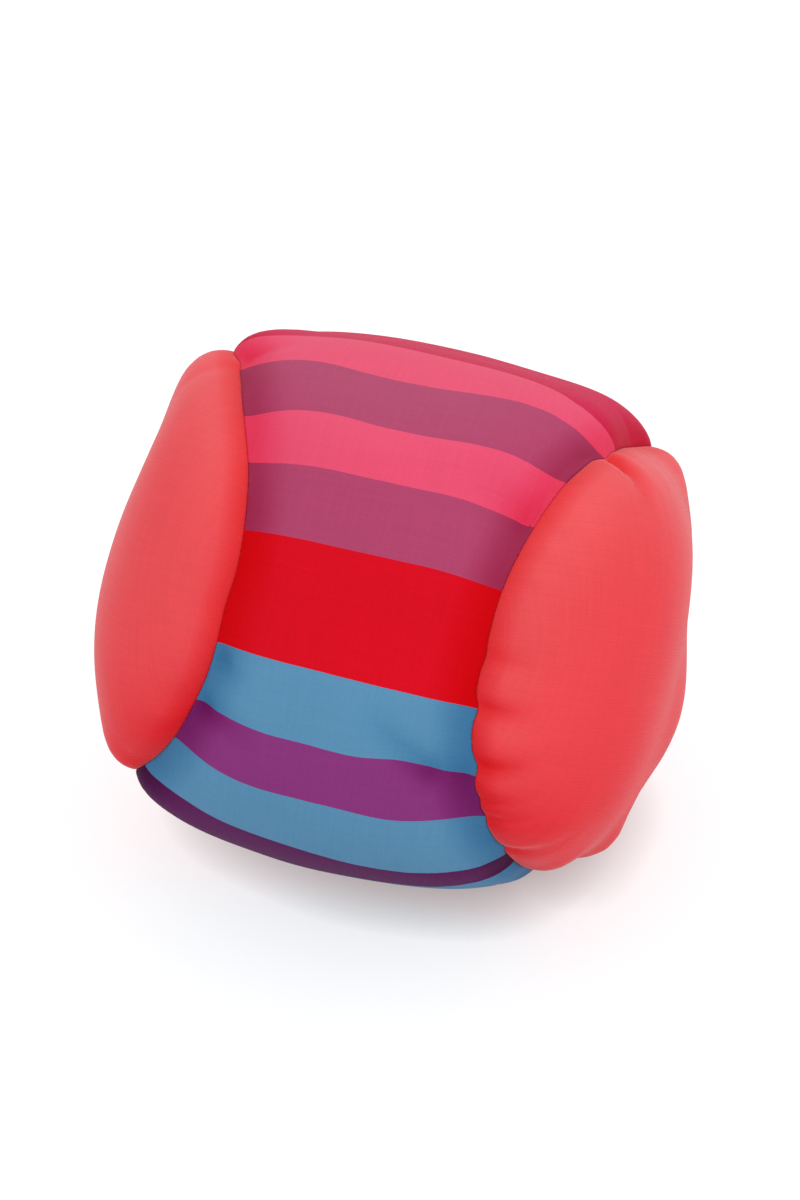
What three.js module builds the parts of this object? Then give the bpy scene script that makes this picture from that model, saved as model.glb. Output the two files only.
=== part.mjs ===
// Soft boccia ball: two dumbbell-shaped cloth panels, one striped and one plain, sewn together like
// the cover of a tennis ball over a liner bag of plastic granules. It lies settled on the floor.
// Local frame before the ball is laid down: x to the right, y to the back, z up, in mm.
import * as THREE from "three";

// Size of the stuffed cover.
const LOBE_WIDTH = 86; // across the two plain lobes, left to right
const LOBE_HEIGHT = 79; // across the two striped lobes, bottom to top
const WAIST_DEPTH = 91; // from the striped waist in front to the plain waist behind
const WAIST_WIDTH = 35; // narrowest part of each panel, seam to seam
const SQUARENESS = 2.8; // exponent of the stuffed form: 2 is an ellipsoid, more is boxier

// How the ball lies on the floor, angles in degrees.
const TILT_BACK = 30; // the striped waist looks up by this much
const LEAN = 8; // the right plain lobe hangs lower by this much
const SETTLE = 6; // height that the weight of the filling presses flat
const SETTLE_ROUNDING = 1.5; // softness of the edge round the flattened base

// Cloth, seam and thread.
const COVER_CLOTH = 0.6;
const LINER_CLOTH = 0.3;
const SEAM_ALLOWANCE = 7; // cloth turned back inside each cover panel
const STEP_DOWN = 4; // length over which the liner comes up again beside an allowance
const DRAW_IN = 1.2; // depth of the valley that the seam pulls into the cover
const DRAW_REACH = 3.5; // half width of that valley
const SEAM_GAP = 0.3; // between the two folded edges
const SEWING_THREAD = 0.4; // diameter of the machine and hand sewing threads
const OVERLOCK_THREAD = 0.6; // diameter of the liner's overlocked edge
const CLEARANCE = 0.3; // between layers that lie on each other
const CLOSING_LENGTH = 50; // seam left open for filling, then sewn up by hand
const THREAD_END_GAP = 1; // between the ends of the hand and the machine sewing

// Facets.
const STATIONS = 60; // points along the seam, a multiple of 4
const SKIN_RINGS = 4; // rings from a panel's middle line to its seam allowance, alike in every layer
const FOLD_STEPS = 3; // facets round a fold
const THREAD_SIDES = 6;
const WELD = 1e-4; // points closer than this are one vertex
const MIDDLE_LINE_END = THREE.MathUtils.degToRad(110); // from waist to the middle of a lobe

// Depths below the cover's outer face that follow from the sizes above.
const FOLD_RADIUS = COVER_CLOTH + CLEARANCE + SEWING_THREAD / 2;
const ALLOWANCE_DEPTH = 2 * FOLD_RADIUS;
const FOLD_CENTRE = SEAM_GAP / 2 + FOLD_RADIUS; // distance of a fold's centre from the seam
const OVERLOCK_DEPTH = ALLOWANCE_DEPTH + CLEARANCE + OVERLOCK_THREAD / 2;
const LINER_EDGE = OVERLOCK_THREAD / 2 + CLEARANCE; // distance of a liner's edge from the seam
const LINER_DEPTH_AT_SEAM = OVERLOCK_DEPTH - LINER_CLOTH / 2;
const LINER_DEPTH = COVER_CLOTH + CLEARANCE;
const FILL_DEPTH_AT_SEAM = OVERLOCK_DEPTH + OVERLOCK_THREAD / 2 + CLEARANCE;
const FILL_DEPTH = LINER_DEPTH + LINER_CLOTH + CLEARANCE;
const ALLOWANCE_END = FOLD_CENTRE + SEAM_ALLOWANCE;
const STEPPED_UP = ALLOWANCE_END + CLEARANCE + STEP_DOWN;

// Laid-down attitude, and the height of the ball's centre above the floor.
const attitude = new THREE.Quaternion().setFromEuler(
  new THREE.Euler(
    THREE.MathUtils.degToRad(-TILT_BACK),
    THREE.MathUtils.degToRad(LEAN),
    0,
    "YXZ",
  ),
);
const halfSizes = [LOBE_WIDTH / 2, WAIST_DEPTH / 2, LOBE_HEIGHT / 2];
const centreHeight = reachTowards(downInLocalFrame()) - SETTLE;

function downInLocalFrame() {
  return new THREE.Vector3(0, 0, -1).applyQuaternion(attitude.clone().invert());
}

// How far the stuffed form reaches along a unit direction, measured to its tangent plane.
function reachTowards(direction) {
  const dual = SQUARENESS / (SQUARENESS - 1);
  const terms = direction
    .toArray()
    .map((part, k) => Math.abs(part * halfSizes[k]) ** dual);
  return terms.reduce((sum, term) => sum + term) ** (1 / dual);
}

// Distance from the centre to the stuffed form's surface along a unit direction.
function surfaceRadius(direction) {
  const terms = direction
    .toArray()
    .map((part, k) => Math.abs(part / halfSizes[k]) ** SQUARENESS);
  return terms.reduce((sum, term) => sum + term) ** (-1 / SQUARENESS);
}

// The seam is a closed wave round the ball: four turns, as on a tennis ball.
function seamDirection(turn) {
  const waist = WAIST_WIDTH / WAIST_DEPTH;
  const big = (1 + waist) / 2;
  const small = (1 - waist) / 2;
  const across = big * Math.cos(turn) + small * Math.cos(3 * turn);
  const along = big * Math.sin(turn) - small * Math.sin(3 * turn);
  const front = 2 * Math.sqrt(big * small) * Math.sin(2 * turn);
  return new THREE.Vector3(
    (across + along) / Math.SQRT2,
    -front,
    (across - along) / Math.SQRT2,
  ).normalize();
}

// Each panel: which side of the seam it lies on, and the point of its middle line beside a seam point.
const STRIPED = {
  side: 1,
  middle(seam) {
    const angle = clampAngle(Math.atan2(seam.z, -seam.y));
    return new THREE.Vector3(0, -Math.cos(angle), Math.sin(angle));
  },
};
const PLAIN = {
  side: -1,
  middle(seam) {
    const angle = clampAngle(Math.atan2(seam.x, seam.y));
    return new THREE.Vector3(Math.sin(angle), Math.cos(angle), 0);
  },
};

function clampAngle(angle) {
  return THREE.MathUtils.clamp(angle, -MIDDLE_LINE_END, MIDDLE_LINE_END);
}

// Seam points with the direction, along the surface, that leads into the striped panel.
const stations = Array.from({ length: STATIONS }, (_, i) => {
  const turn = -Math.PI / 4 + (2 * Math.PI * i) / STATIONS;
  const step = Math.PI / (4 * STATIONS);
  const seam = seamDirection(turn);
  const tangent = seamDirection(turn + step).sub(seamDirection(turn - step));
  const inward = new THREE.Vector3().crossVectors(tangent, seam).normalize();
  return { seam, inward, radius: surfaceRadius(seam) };
});

function turnedTowards(from, to, share) {
  const axis = new THREE.Vector3().crossVectors(from, to).normalize();
  return from.clone().applyAxisAngle(axis, from.angleTo(to) * share);
}

// A point of a panel beside one station. "away" is its distance from the seam; past that, "share"
// leads on to the middle line. "depth" is below the cover's outer face.
function panelPoint(panel, station, { away, share = 0, depth }) {
  const { seam, inward, radius } = station;
  const angle = (panel.side * away) / radius;
  const beside = seam
    .clone()
    .multiplyScalar(Math.cos(angle))
    .addScaledVector(inward, Math.sin(angle));
  const direction = share
    ? turnedTowards(beside, panel.middle(seam), share)
    : beside;
  const distance = direction.angleTo(seam) * radius;
  const valley = DRAW_IN * Math.exp(-((distance / DRAW_REACH) ** 2));
  const outwards = direction.clone().applyQuaternion(attitude);
  const point = outwards.clone().multiplyScalar(surfaceRadius(direction) - valley);
  point.z = pressed(point.z + centreHeight);
  return point.addScaledVector(outwards, -depth);
}

// A height above the floor after settling: never below it, and rounded where it meets it.
function pressed(height) {
  if (height >= SETTLE_ROUNDING) return height;
  if (height <= -SETTLE_ROUNDING) return 0;
  return (height + SETTLE_ROUNDING) ** 2 / (4 * SETTLE_ROUNDING);
}

function ring(panel, place) {
  return stations.map((station) => panelPoint(panel, station, place));
}

// Rings from the middle line (share 1) out to where the seam allowance begins (share 0).
function skinRings(panel, depth) {
  return Array.from({ length: SKIN_RINGS + 1 }, (_, k) =>
    ring(panel, { away: STEPPED_UP, share: 1 - k / SKIN_RINGS, depth }),
  );
}

// Half circle of a fold seen across the seam, from the outer face round to the allowance.
function foldRings(panel, radius) {
  return Array.from({ length: FOLD_STEPS + 1 }, (_, k) => {
    const angle = (Math.PI * k) / FOLD_STEPS;
    const away = FOLD_CENTRE - radius * Math.sin(angle);
    return ring(panel, { away, depth: FOLD_RADIUS - radius * Math.cos(angle) });
  });
}

// Joins closed rows of points into one closed geometry. Points that coincide become one vertex, and
// triangles that this leaves without area are dropped. Quads are cut along their shorter diagonal,
// so that layers that lie on each other have parallel facets.
function closedGeometry(rows, flipped = false) {
  const positions = [];
  const indexOf = new Map();
  const vertex = (point) => {
    const key = point.toArray().map((value) => Math.round(value / WELD)).join();
    if (!indexOf.has(key)) {
      indexOf.set(key, positions.length / 3);
      positions.push(...point.toArray());
    }
    return indexOf.get(key);
  };
  const triangles = [];
  const triangle = (a, b, c) => {
    if (a === b || b === c || c === a) return;
    triangles.push(...(flipped ? [a, c, b] : [a, b, c]));
  };
  const numbered = rows.map((row) => row.map(vertex));
  for (let k = 0; k + 1 < numbered.length; k++) {
    const [here, next] = [numbered[k], numbered[k + 1]];
    const count = here.length;
    for (let i = 0; i < count; i++) {
      const j = (i + 1) % count;
      const forward = rows[k][i].distanceTo(rows[k + 1][j]);
      const backward = rows[k][j].distanceTo(rows[k + 1][i]);
      if (forward <= backward) {
        triangle(here[i], here[j], next[j]);
        triangle(here[i], next[j], next[i]);
      } else {
        triangle(here[i], here[j], next[i]);
        triangle(here[j], next[j], next[i]);
      }
    }
  }
  const geometry = new THREE.BufferGeometry();
  geometry.setAttribute("position", new THREE.Float32BufferAttribute(positions, 3));
  geometry.setIndex(triangles);
  geometry.computeVertexNormals();
  return geometry;
}

// A cover panel with its edge folded in and its seam allowance lying back under it.
function coverPanelGeometry(panel) {
  const outerFold = foldRings(panel, FOLD_RADIUS);
  const innerFold = foldRings(panel, FOLD_RADIUS - COVER_CLOTH).reverse();
  const rows = [
    ...skinRings(panel, 0),
    ring(panel, { away: ALLOWANCE_END, depth: 0 }),
    ...outerFold,
    ring(panel, { away: ALLOWANCE_END, depth: ALLOWANCE_DEPTH }),
    ring(panel, { away: ALLOWANCE_END, depth: ALLOWANCE_DEPTH - COVER_CLOTH }),
    ...innerFold,
    ring(panel, { away: ALLOWANCE_END, depth: COVER_CLOTH }),
    ...skinRings(panel, COVER_CLOTH).reverse(),
  ];
  return closedGeometry(rows, panel.side < 0);
}

// One face of the inner bag or the filling: deep under the seam's allowances, higher beside them.
function innerFace(panel, edge, depthAtSeam, depth) {
  return [
    ...skinRings(panel, depth),
    ring(panel, { away: ALLOWANCE_END + CLEARANCE, depth: depthAtSeam }),
    ring(panel, { away: edge, depth: depthAtSeam }),
  ];
}

function linerPanelGeometry(panel) {
  const below = LINER_CLOTH;
  const rows = [
    ...innerFace(panel, LINER_EDGE, LINER_DEPTH_AT_SEAM, LINER_DEPTH),
    ...innerFace(
      panel,
      LINER_EDGE,
      LINER_DEPTH_AT_SEAM + below,
      LINER_DEPTH + below,
    ).reverse(),
  ];
  return closedGeometry(rows, panel.side < 0);
}

function fillingGeometry() {
  const rows = [
    ...innerFace(STRIPED, 0, FILL_DEPTH_AT_SEAM, FILL_DEPTH),
    ...innerFace(PLAIN, 0, FILL_DEPTH_AT_SEAM, FILL_DEPTH).reverse().slice(1),
  ];
  return closedGeometry(rows);
}

// Section of a thread beside the seam. "position" counts stations along the seam, also between two.
function threadSection(thread, position) {
  const { panel, away, depth, diameter } = thread;
  const whole = Math.floor(position);
  const here = stations[whole % STATIONS];
  const next = stations[(whole + 1) % STATIONS];
  return Array.from({ length: THREAD_SIDES }, (_, k) => {
    const angle = (2 * Math.PI * k) / THREAD_SIDES;
    const place = {
      away: away + (diameter / 2) * Math.cos(angle),
      depth: depth + (diameter / 2) * Math.sin(angle),
    };
    const start = panelPoint(panel, here, place);
    return start.lerp(panelPoint(panel, next, place), position - whole);
  });
}

function middleOf(points) {
  const sum = points.reduce((total, point) => total.add(point), new THREE.Vector3());
  return sum.divideScalar(points.length);
}

// A length of thread from one position along the seam to another, with flat ends.
function threadGeometry(thread, from, to) {
  const between = Array.from(
    { length: Math.ceil(to) - Math.floor(from) - 1 },
    (_, k) => Math.floor(from) + 1 + k,
  );
  const sections = [from, ...between, to].map((position) =>
    threadSection(thread, position),
  );
  const first = sections[0];
  const last = sections[sections.length - 1];
  const rows = [
    first.map(() => middleOf(first)),
    ...sections,
    last.map(() => middleOf(last)),
  ];
  return closedGeometry(rows, thread.panel.side < 0);
}

// A sewing thread runs inside the fold of one panel.
function foldThread(panel) {
  return { panel, away: FOLD_CENTRE, depth: FOLD_RADIUS, diameter: SEWING_THREAD };
}

// The liner's overlocked edge goes all the way round under the seam.
function overlockGeometry() {
  const overlock = {
    panel: STRIPED,
    away: 0,
    depth: OVERLOCK_DEPTH,
    diameter: OVERLOCK_THREAD,
  };
  const sections = stations.map((_, i) => threadSection(overlock, i));
  return closedGeometry([...sections, sections[0]]);
}

// The hand-sewn closing starts at the tip of the upper striped lobe, where the stations start.
const seamPoints = ring(STRIPED, { away: 0, depth: 0 });
const seamLength = seamPoints.reduce(
  (sum, point, i) => sum + point.distanceTo(seamPoints[(i + 1) % STATIONS]),
  0,
);
const stationsPerMm = STATIONS / seamLength;
const closingEnd = CLOSING_LENGTH * stationsPerMm;
const endGap = (THREAD_END_GAP / 2) * stationsPerMm;

const striped = new THREE.MeshStandardMaterial({ color: 0xdb1525, roughness: 0.8, metalness: 0 });
const plain = new THREE.MeshStandardMaterial({ color: 0xec5658, roughness: 0.8, metalness: 0 });
const thread = new THREE.MeshStandardMaterial({ color: 0xb01428, roughness: 0.7, metalness: 0 });
const liner = new THREE.MeshStandardMaterial({ color: 0xf2efe8, roughness: 0.9, metalness: 0 });
const granules = new THREE.MeshStandardMaterial({ color: 0xe6e6e0, roughness: 0.5, metalness: 0 });

const ball = new THREE.Group();

function addPiece(name, geometry, material) {
  const mesh = new THREE.Mesh(geometry, material);
  mesh.name = name;
  ball.add(mesh);
}

addPiece("striped_panel", coverPanelGeometry(STRIPED), striped);
addPiece("plain_panel", coverPanelGeometry(PLAIN), plain);
addPiece(
  "seam_needle_thread",
  threadGeometry(foldThread(STRIPED), closingEnd + endGap, STATIONS - endGap),
  thread,
);
addPiece(
  "seam_bobbin_thread",
  threadGeometry(foldThread(PLAIN), closingEnd + endGap, STATIONS - endGap),
  thread,
);
addPiece(
  "closing_thread",
  threadGeometry(foldThread(STRIPED), endGap, closingEnd - endGap),
  thread,
);
addPiece("front_liner_panel", linerPanelGeometry(STRIPED), liner);
addPiece("back_liner_panel", linerPanelGeometry(PLAIN), liner);
addPiece("liner_overlock_thread", overlockGeometry(), liner);
addPiece("granule_filling", fillingGeometry(), granules);

export default ball;
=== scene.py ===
"""Soft boccia ball: a striped and a plain cloth panel sewn round a liner bag of granules.

The ball's own frame has x to the right across the plain lobes, y to the back and z up across the
striped lobes. BallForm.laid turns it to the way the ball lies on the floor. All sizes are in metres.
"""

from __future__ import annotations

import logging
import math
from dataclasses import dataclass, field
from enum import Enum, IntEnum

import bpy
import numpy as np
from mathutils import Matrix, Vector, noise
from mathutils.geometry import delaunay_2d_cdt


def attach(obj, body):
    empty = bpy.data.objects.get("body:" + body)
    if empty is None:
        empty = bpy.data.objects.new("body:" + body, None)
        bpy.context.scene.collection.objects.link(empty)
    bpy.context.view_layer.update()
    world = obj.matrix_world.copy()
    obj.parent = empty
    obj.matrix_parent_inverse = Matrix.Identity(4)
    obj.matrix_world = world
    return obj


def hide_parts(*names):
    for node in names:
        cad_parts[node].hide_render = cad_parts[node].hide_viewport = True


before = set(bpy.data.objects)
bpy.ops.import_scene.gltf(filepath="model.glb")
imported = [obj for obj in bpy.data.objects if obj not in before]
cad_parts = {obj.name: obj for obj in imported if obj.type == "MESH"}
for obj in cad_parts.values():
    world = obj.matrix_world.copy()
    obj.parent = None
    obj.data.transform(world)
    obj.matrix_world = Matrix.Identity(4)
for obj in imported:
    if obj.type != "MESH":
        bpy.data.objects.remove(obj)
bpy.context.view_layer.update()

MM = 0.001
TINY = 1e-9
BODY = "root"
CLOTH_MAP = "cloth"
BAKE_MAP = "OFBake"
PAINTED_SHADE_MARK = "painted_seam_shade"
STITCH_PITCH = 2.4 * MM
WHITE = (1.0, 1.0, 1.0, 1.0)
log = logging.getLogger("boccia_ball")

# Kind of triangulation that keeps only what lies inside the outline.
INSIDE_ONLY = 1

# Turns a point of the striped panel into the matching point of the plain one.
QUARTER_TURN = np.array(((0.0, 0.0, 1.0), (0.0, -1.0, 0.0), (-1.0, 0.0, 0.0)))


class Panel(Enum):
    """The two cover panels, with the side of the seam on which each one lies."""

    STRIPED = 1
    PLAIN = -1


def unit(vectors: np.ndarray) -> np.ndarray:
    """Scales each row to length one."""
    return vectors / np.linalg.norm(vectors, axis=-1, keepdims=True)


def smooth_step(low: float, high: float, values: np.ndarray) -> np.ndarray:
    """Eases from 0 at low to 1 at high.

    Args:
        low: Value up to which the result is 0.
        high: Value from which the result is 1.
        values: Values to ease.

    Returns:
        The eased values, from 0 to 1.
    """
    share = np.clip((values - low) / (high - low), 0.0, 1.0)
    return share * share * (3.0 - 2.0 * share)


def smooth_curve(values: np.ndarray, knots: np.ndarray, heights: np.ndarray) -> np.ndarray:
    """Smooth curve through given heights.

    Args:
        values: Places at which the curve is read.
        knots: Places of the given heights, in rising order.
        heights: Heights at the knots.

    Returns:
        The curve's height at each value, level beyond the end knots.
    """
    slopes = np.gradient(heights, knots)
    held = np.clip(values, knots[0], knots[-1])
    number = np.clip(np.searchsorted(knots, held, side="right") - 1, 0, len(knots) - 2)
    width = knots[number + 1] - knots[number]
    share = (held - knots[number]) / width
    back = 1 - share
    from_left = back**2 * (1 + 2 * share) * heights[number]
    from_right = share**2 * (3 - 2 * share) * heights[number + 1]
    bend = back * slopes[number] - share * slopes[number + 1]
    return from_left + from_right + width * share * back * bend


def between(first: np.ndarray, second: np.ndarray, share: np.ndarray) -> np.ndarray:
    """Goes from one set of points to another by a share."""
    return first * (1 - share) + second * share


@dataclass(frozen=True)
class BallForm:
    """The stuffed form, its seam and the way it lies, with the sizes of the CAD model."""

    lobe_width: float = 86 * MM
    lobe_height: float = 79 * MM
    waist_depth: float = 91 * MM
    waist_width: float = 35 * MM
    squareness: float = 2.8
    tilt_back: float = math.radians(30)
    lean: float = math.radians(8)
    settle: float = 6 * MM
    settle_rounding: float = 1.5 * MM

    @property
    def half_sizes(self) -> np.ndarray:
        """Half of the form's width, depth and height."""
        return np.array((self.lobe_width, self.waist_depth, self.lobe_height)) / 2

    @property
    def attitude(self) -> np.ndarray:
        """Rotation from the ball's own frame to the floor's frame.

        Returns:
            The rotation as three rows of three.
        """
        tilt_sin, tilt_cos = math.sin(-self.tilt_back), math.cos(-self.tilt_back)
        lean_sin, lean_cos = math.sin(self.lean), math.cos(self.lean)
        tilt = np.array(((1, 0, 0), (0, tilt_cos, -tilt_sin), (0, tilt_sin, tilt_cos)))
        lean = np.array(((lean_cos, 0, lean_sin), (0, 1, 0), (-lean_sin, 0, lean_cos)))
        return lean @ tilt

    @property
    def centre_height(self) -> float:
        """Height of the ball's centre above the floor once it has settled.

        Returns:
            The height.
        """
        down = self.attitude.T @ np.array((0.0, 0.0, -1.0))
        dual = self.squareness / (self.squareness - 1)
        reach = (np.abs(down * self.half_sizes) ** dual).sum() ** (1 / dual)
        return float(reach - self.settle)

    def radius(self, directions: np.ndarray) -> np.ndarray:
        """Distance from the centre to the stuffed form along unit directions."""
        terms = np.abs(directions / self.half_sizes) ** self.squareness
        return terms.sum(axis=-1) ** (-1 / self.squareness)

    def seam(self, turns: np.ndarray) -> np.ndarray:
        """Unit directions of the seam, a closed wave with four bends.

        Args:
            turns: Places along the seam, from 0 to 2 pi for one round.

        Returns:
            One unit direction in the ball's own frame for each place.
        """
        waist = self.waist_width / self.waist_depth
        big = (1 + waist) / 2
        small = (1 - waist) / 2
        across = big * np.cos(turns) + small * np.cos(3 * turns)
        along = big * np.sin(turns) - small * np.sin(3 * turns)
        front = 2 * math.sqrt(big * small) * np.sin(2 * turns)
        diagonal = math.sqrt(2)
        return unit(np.stack(((across + along) / diagonal, -front, (across - along) / diagonal), -1))

    def laid(self, points: np.ndarray) -> np.ndarray:
        """Lays points of the ball on the floor.

        Args:
            points: Points in the ball's own frame.

        Returns:
            The points in the floor's frame, pressed flat where the ball rests.
        """
        placed = points @ self.attitude.T
        height = placed[:, 2] + self.centre_height
        soft = self.settle_rounding
        rounded = np.clip(height + soft, 0.0, None) ** 2 / (4 * soft)
        placed[:, 2] = np.where(height >= soft, height, rounded)
        return placed


@dataclass
class CoverNet:
    """Net of points over both panels, welded along the seam.

    The seam's points come first, then the striped panel's, then the plain panel's in the same order.
    Rings of points run beside the seam, and the rest of each panel is a loose net.
    """

    form: BallForm
    stations: int = 432
    first_turn: float = -45.0
    rings: tuple[float, ...] = (0.7 * MM, 1.6 * MM, 2.8 * MM, 4.6 * MM, 6.8 * MM)
    chart_step: float = 0.042
    ring_clearance: float = 1.4 * MM
    seam: np.ndarray = field(init=False)
    inward: np.ndarray = field(init=False)
    seam_place: np.ndarray = field(init=False)
    seam_length: float = field(init=False)
    directions: np.ndarray = field(init=False)
    away: np.ndarray = field(init=False)
    station: np.ndarray = field(init=False)
    triangles: dict[Panel, np.ndarray] = field(init=False)

    def __post_init__(self) -> None:
        """Lays the seam, nets the striped panel and turns that net over for the plain one."""
        self._lay_seam()
        panel_points = self._panel_points()
        faces = self._panel_triangles(panel_points)
        inner = panel_points[self.stations :]
        self.directions = np.concatenate((self.seam, inner, inner @ QUARTER_TURN.T))
        self.triangles = {Panel.STRIPED: faces, Panel.PLAIN: self._turned_over(faces)}
        self._measure_from_seam()

    @property
    def inner_count(self) -> int:
        """Number of one panel's points off the seam."""
        return (len(self.directions) - self.stations) // 2

    @property
    def all_triangles(self) -> np.ndarray:
        """Triangles of both panels."""
        return np.concatenate([self.triangles[panel] for panel in Panel])

    def degrees(self, station: np.ndarray) -> np.ndarray:
        """Turns of the seam's stations, in degrees."""
        return station * 360.0 / self.stations + self.first_turn

    def turned_back(self, panel: Panel) -> np.ndarray:
        """The net's directions, turned so that a panel lies where the striped one is."""
        return self.directions if panel is Panel.STRIPED else self.directions @ QUARTER_TURN

    def _lay_seam(self) -> None:
        """Sets the seam's directions, the way into the striped panel and the places along it."""
        step = 2 * math.pi / self.stations
        nudge = step / 8
        turns = math.radians(self.first_turn) + step * np.arange(self.stations)
        self.seam = self.form.seam(turns)
        tangent = self.form.seam(turns + nudge) - self.form.seam(turns - nudge)
        self.inward = unit(np.cross(tangent, self.seam))
        points = self.seam * self.form.radius(self.seam)[:, None]
        lengths = np.linalg.norm(np.roll(points, -1, axis=0) - points, axis=1)
        self.seam_place = np.concatenate(((0.0,), np.cumsum(lengths)[:-1]))
        self.seam_length = float(lengths.sum())

    def beside_seam(self, away: float, panel: Panel) -> np.ndarray:
        """Directions at one distance from the seam, one for each station.

        Args:
            away: Distance from the seam along the surface.
            panel: Panel on whose side the points lie.

        Returns:
            Unit directions in the ball's own frame.
        """
        angle = panel.value * away / self.form.radius(self.seam)[:, None]
        return self.seam * np.cos(angle) + self.inward * np.sin(angle)

    @staticmethod
    def _to_chart(directions: np.ndarray) -> np.ndarray:
        """Flat chart of the striped panel: angle round its middle line, and distance from it."""
        around = np.arctan2(directions[:, 2], -directions[:, 1])
        return np.stack((around, np.arctanh(directions[:, 0])), -1)

    @staticmethod
    def _from_chart(chart: np.ndarray) -> np.ndarray:
        """Goes back from the flat chart to the ball.

        Args:
            chart: Places in the flat chart.

        Returns:
            Unit directions in the ball's own frame.
        """
        spread = np.cosh(chart[:, 1])
        parts = (np.tanh(chart[:, 1]), -np.cos(chart[:, 0]) / spread, np.sin(chart[:, 0]) / spread)
        return np.stack(parts, -1)

    @staticmethod
    def _inside(places: np.ndarray, outline: np.ndarray) -> np.ndarray:
        """Tells which places lie inside a closed outline.

        Args:
            places: Places in the flat chart.
            outline: Corners of the outline in order.

        Returns:
            True for each place inside.
        """
        following = np.roll(outline, -1, axis=0)
        crosses = (outline[:, 1] > places[:, None, 1]) != (following[:, 1] > places[:, None, 1])
        rise = following[:, 1] - outline[:, 1]
        share = (places[:, None, 1] - outline[:, 1]) / np.where(rise == 0.0, TINY, rise)
        left_of = places[:, None, 0] < outline[:, 0] + share * (following[:, 0] - outline[:, 0])
        return (crosses & left_of).sum(axis=1) % 2 == 1

    def _loose_points(self) -> np.ndarray:
        """Spreads points evenly inside the striped panel, clear of the rings beside the seam.

        Returns:
            Unit directions in the ball's own frame.
        """
        edge = self._to_chart(self.seam)
        low, high = edge.min(axis=0), edge.max(axis=0)
        row_step = self.chart_step * math.sqrt(3) / 2
        rows = np.arange(low[1], high[1], row_step)
        columns = np.arange(low[0], high[0], self.chart_step)
        grid = np.stack(np.meshgrid(columns, rows), -1)
        grid[1::2, :, 0] += self.chart_step / 2
        grid = grid.reshape(-1, 2)
        loose = self._from_chart(grid[self._inside(grid, edge)])
        away, _ = self._nearest_seam(loose)
        return loose[away > self.rings[-1] + self.ring_clearance]

    def _panel_points(self) -> np.ndarray:
        """Directions of the striped panel: the seam, the rings beside it and the loose net."""
        rings = [self.beside_seam(away, Panel.STRIPED) for away in self.rings]
        return np.concatenate((self.seam, *rings, self._loose_points()))

    def _panel_triangles(self, points: np.ndarray) -> np.ndarray:
        """Triangles of the striped panel, facing out.

        Args:
            points: Directions of the panel, with the seam first.

        Returns:
            Rows of three point numbers.
        """
        chart = [Vector(place) for place in self._to_chart(points).tolist()]
        edge = list(range(self.stations))
        _, _, faces, origins, _, _ = delaunay_2d_cdt(chart, [], [edge], INSIDE_ONLY, TINY)
        numbers = np.array([origin[0] for origin in origins])
        triangles = numbers[np.array(faces)]
        corners = points[triangles]
        normals = np.cross(corners[:, 1] - corners[:, 0], corners[:, 2] - corners[:, 0])
        if (normals * corners[:, 0]).sum() < 0:
            triangles = triangles[:, ::-1]
        return triangles

    def _turned_over(self, triangles: np.ndarray) -> np.ndarray:
        """The plain panel's triangles.

        Args:
            triangles: The striped panel's triangles.

        Returns:
            Rows of three point numbers.
        """
        on_seam = triangles < self.stations
        quarter = self.stations // 4
        seam_numbers = (triangles + quarter) % self.stations
        return np.where(on_seam, seam_numbers, triangles + self.inner_count)[:, ::-1]

    def _nearest_seam(self, directions: np.ndarray) -> tuple[np.ndarray, np.ndarray]:
        """Distance to the seam, and the number of the nearest station.

        Args:
            directions: Unit directions in the ball's own frame.

        Returns:
            The distances and the station numbers.
        """
        nearness = directions @ self.seam.T
        station = nearness.argmax(axis=1)
        angle = np.arccos(np.clip(nearness.max(axis=1), -1.0, 1.0))
        return angle * self.form.radius(self.seam)[station], station

    def _measure_from_seam(self) -> None:
        """Sets each point's distance from the seam and its nearest station."""
        self.away, self.station = self._nearest_seam(self.directions)
        for panel in Panel:
            for number, distance in enumerate(self.rings, start=1):
                ring = self.ring(panel, number)
                self.away[ring] = distance
                self.station[ring] = np.arange(self.stations)

    def ring(self, panel: Panel, number: int) -> np.ndarray:
        """Numbers of one ring's points in the order of the seam's stations.

        Args:
            panel: Panel in which the ring lies.
            number: 0 for the seam itself, then 1 for the ring next to it and so on.

        Returns:
            One point number for each station.
        """
        stations = np.arange(self.stations)
        start = self.stations * number
        if number == 0 or panel is Panel.STRIPED:
            return start + stations
        return start + self.inner_count + (stations - self.stations // 4) % self.stations

    def members(self, panel: Panel) -> np.ndarray:
        """Numbers of a panel's points off the seam."""
        start = self.stations if panel is Panel.STRIPED else self.stations + self.inner_count
        return np.arange(start, start + self.inner_count)

    def triangles_among(self, panel: Panel, kept: np.ndarray) -> np.ndarray:
        """A panel's triangles that have all their corners among some of the net's points.

        Args:
            panel: The panel.
            kept: Numbers of the points.

        Returns:
            Rows of three places in the list of those points.
        """
        numbers = np.full(len(self.directions), -1)
        numbers[kept] = np.arange(len(kept))
        triangles = numbers[self.triangles[panel]]
        return triangles[(triangles >= 0).all(axis=1)]


@dataclass(frozen=True)
class Swell:
    """A soft swelling of the filling under the cover, or a dent where the height is negative."""

    towards: tuple[float, float, float]
    reach: float
    height: float

    def lift(self, directions: np.ndarray, radius: float) -> np.ndarray:
        """How far the swelling lifts the cover.

        Args:
            directions: Unit directions in the ball's own frame.
            radius: Mean radius of the ball.

        Returns:
            Heights along the directions.
        """
        middle = unit(np.array(self.towards))
        distance = np.arccos(np.clip(directions @ middle, -1.0, 1.0)) * radius
        return self.height * np.exp(-((distance / self.reach) ** 2))


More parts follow.
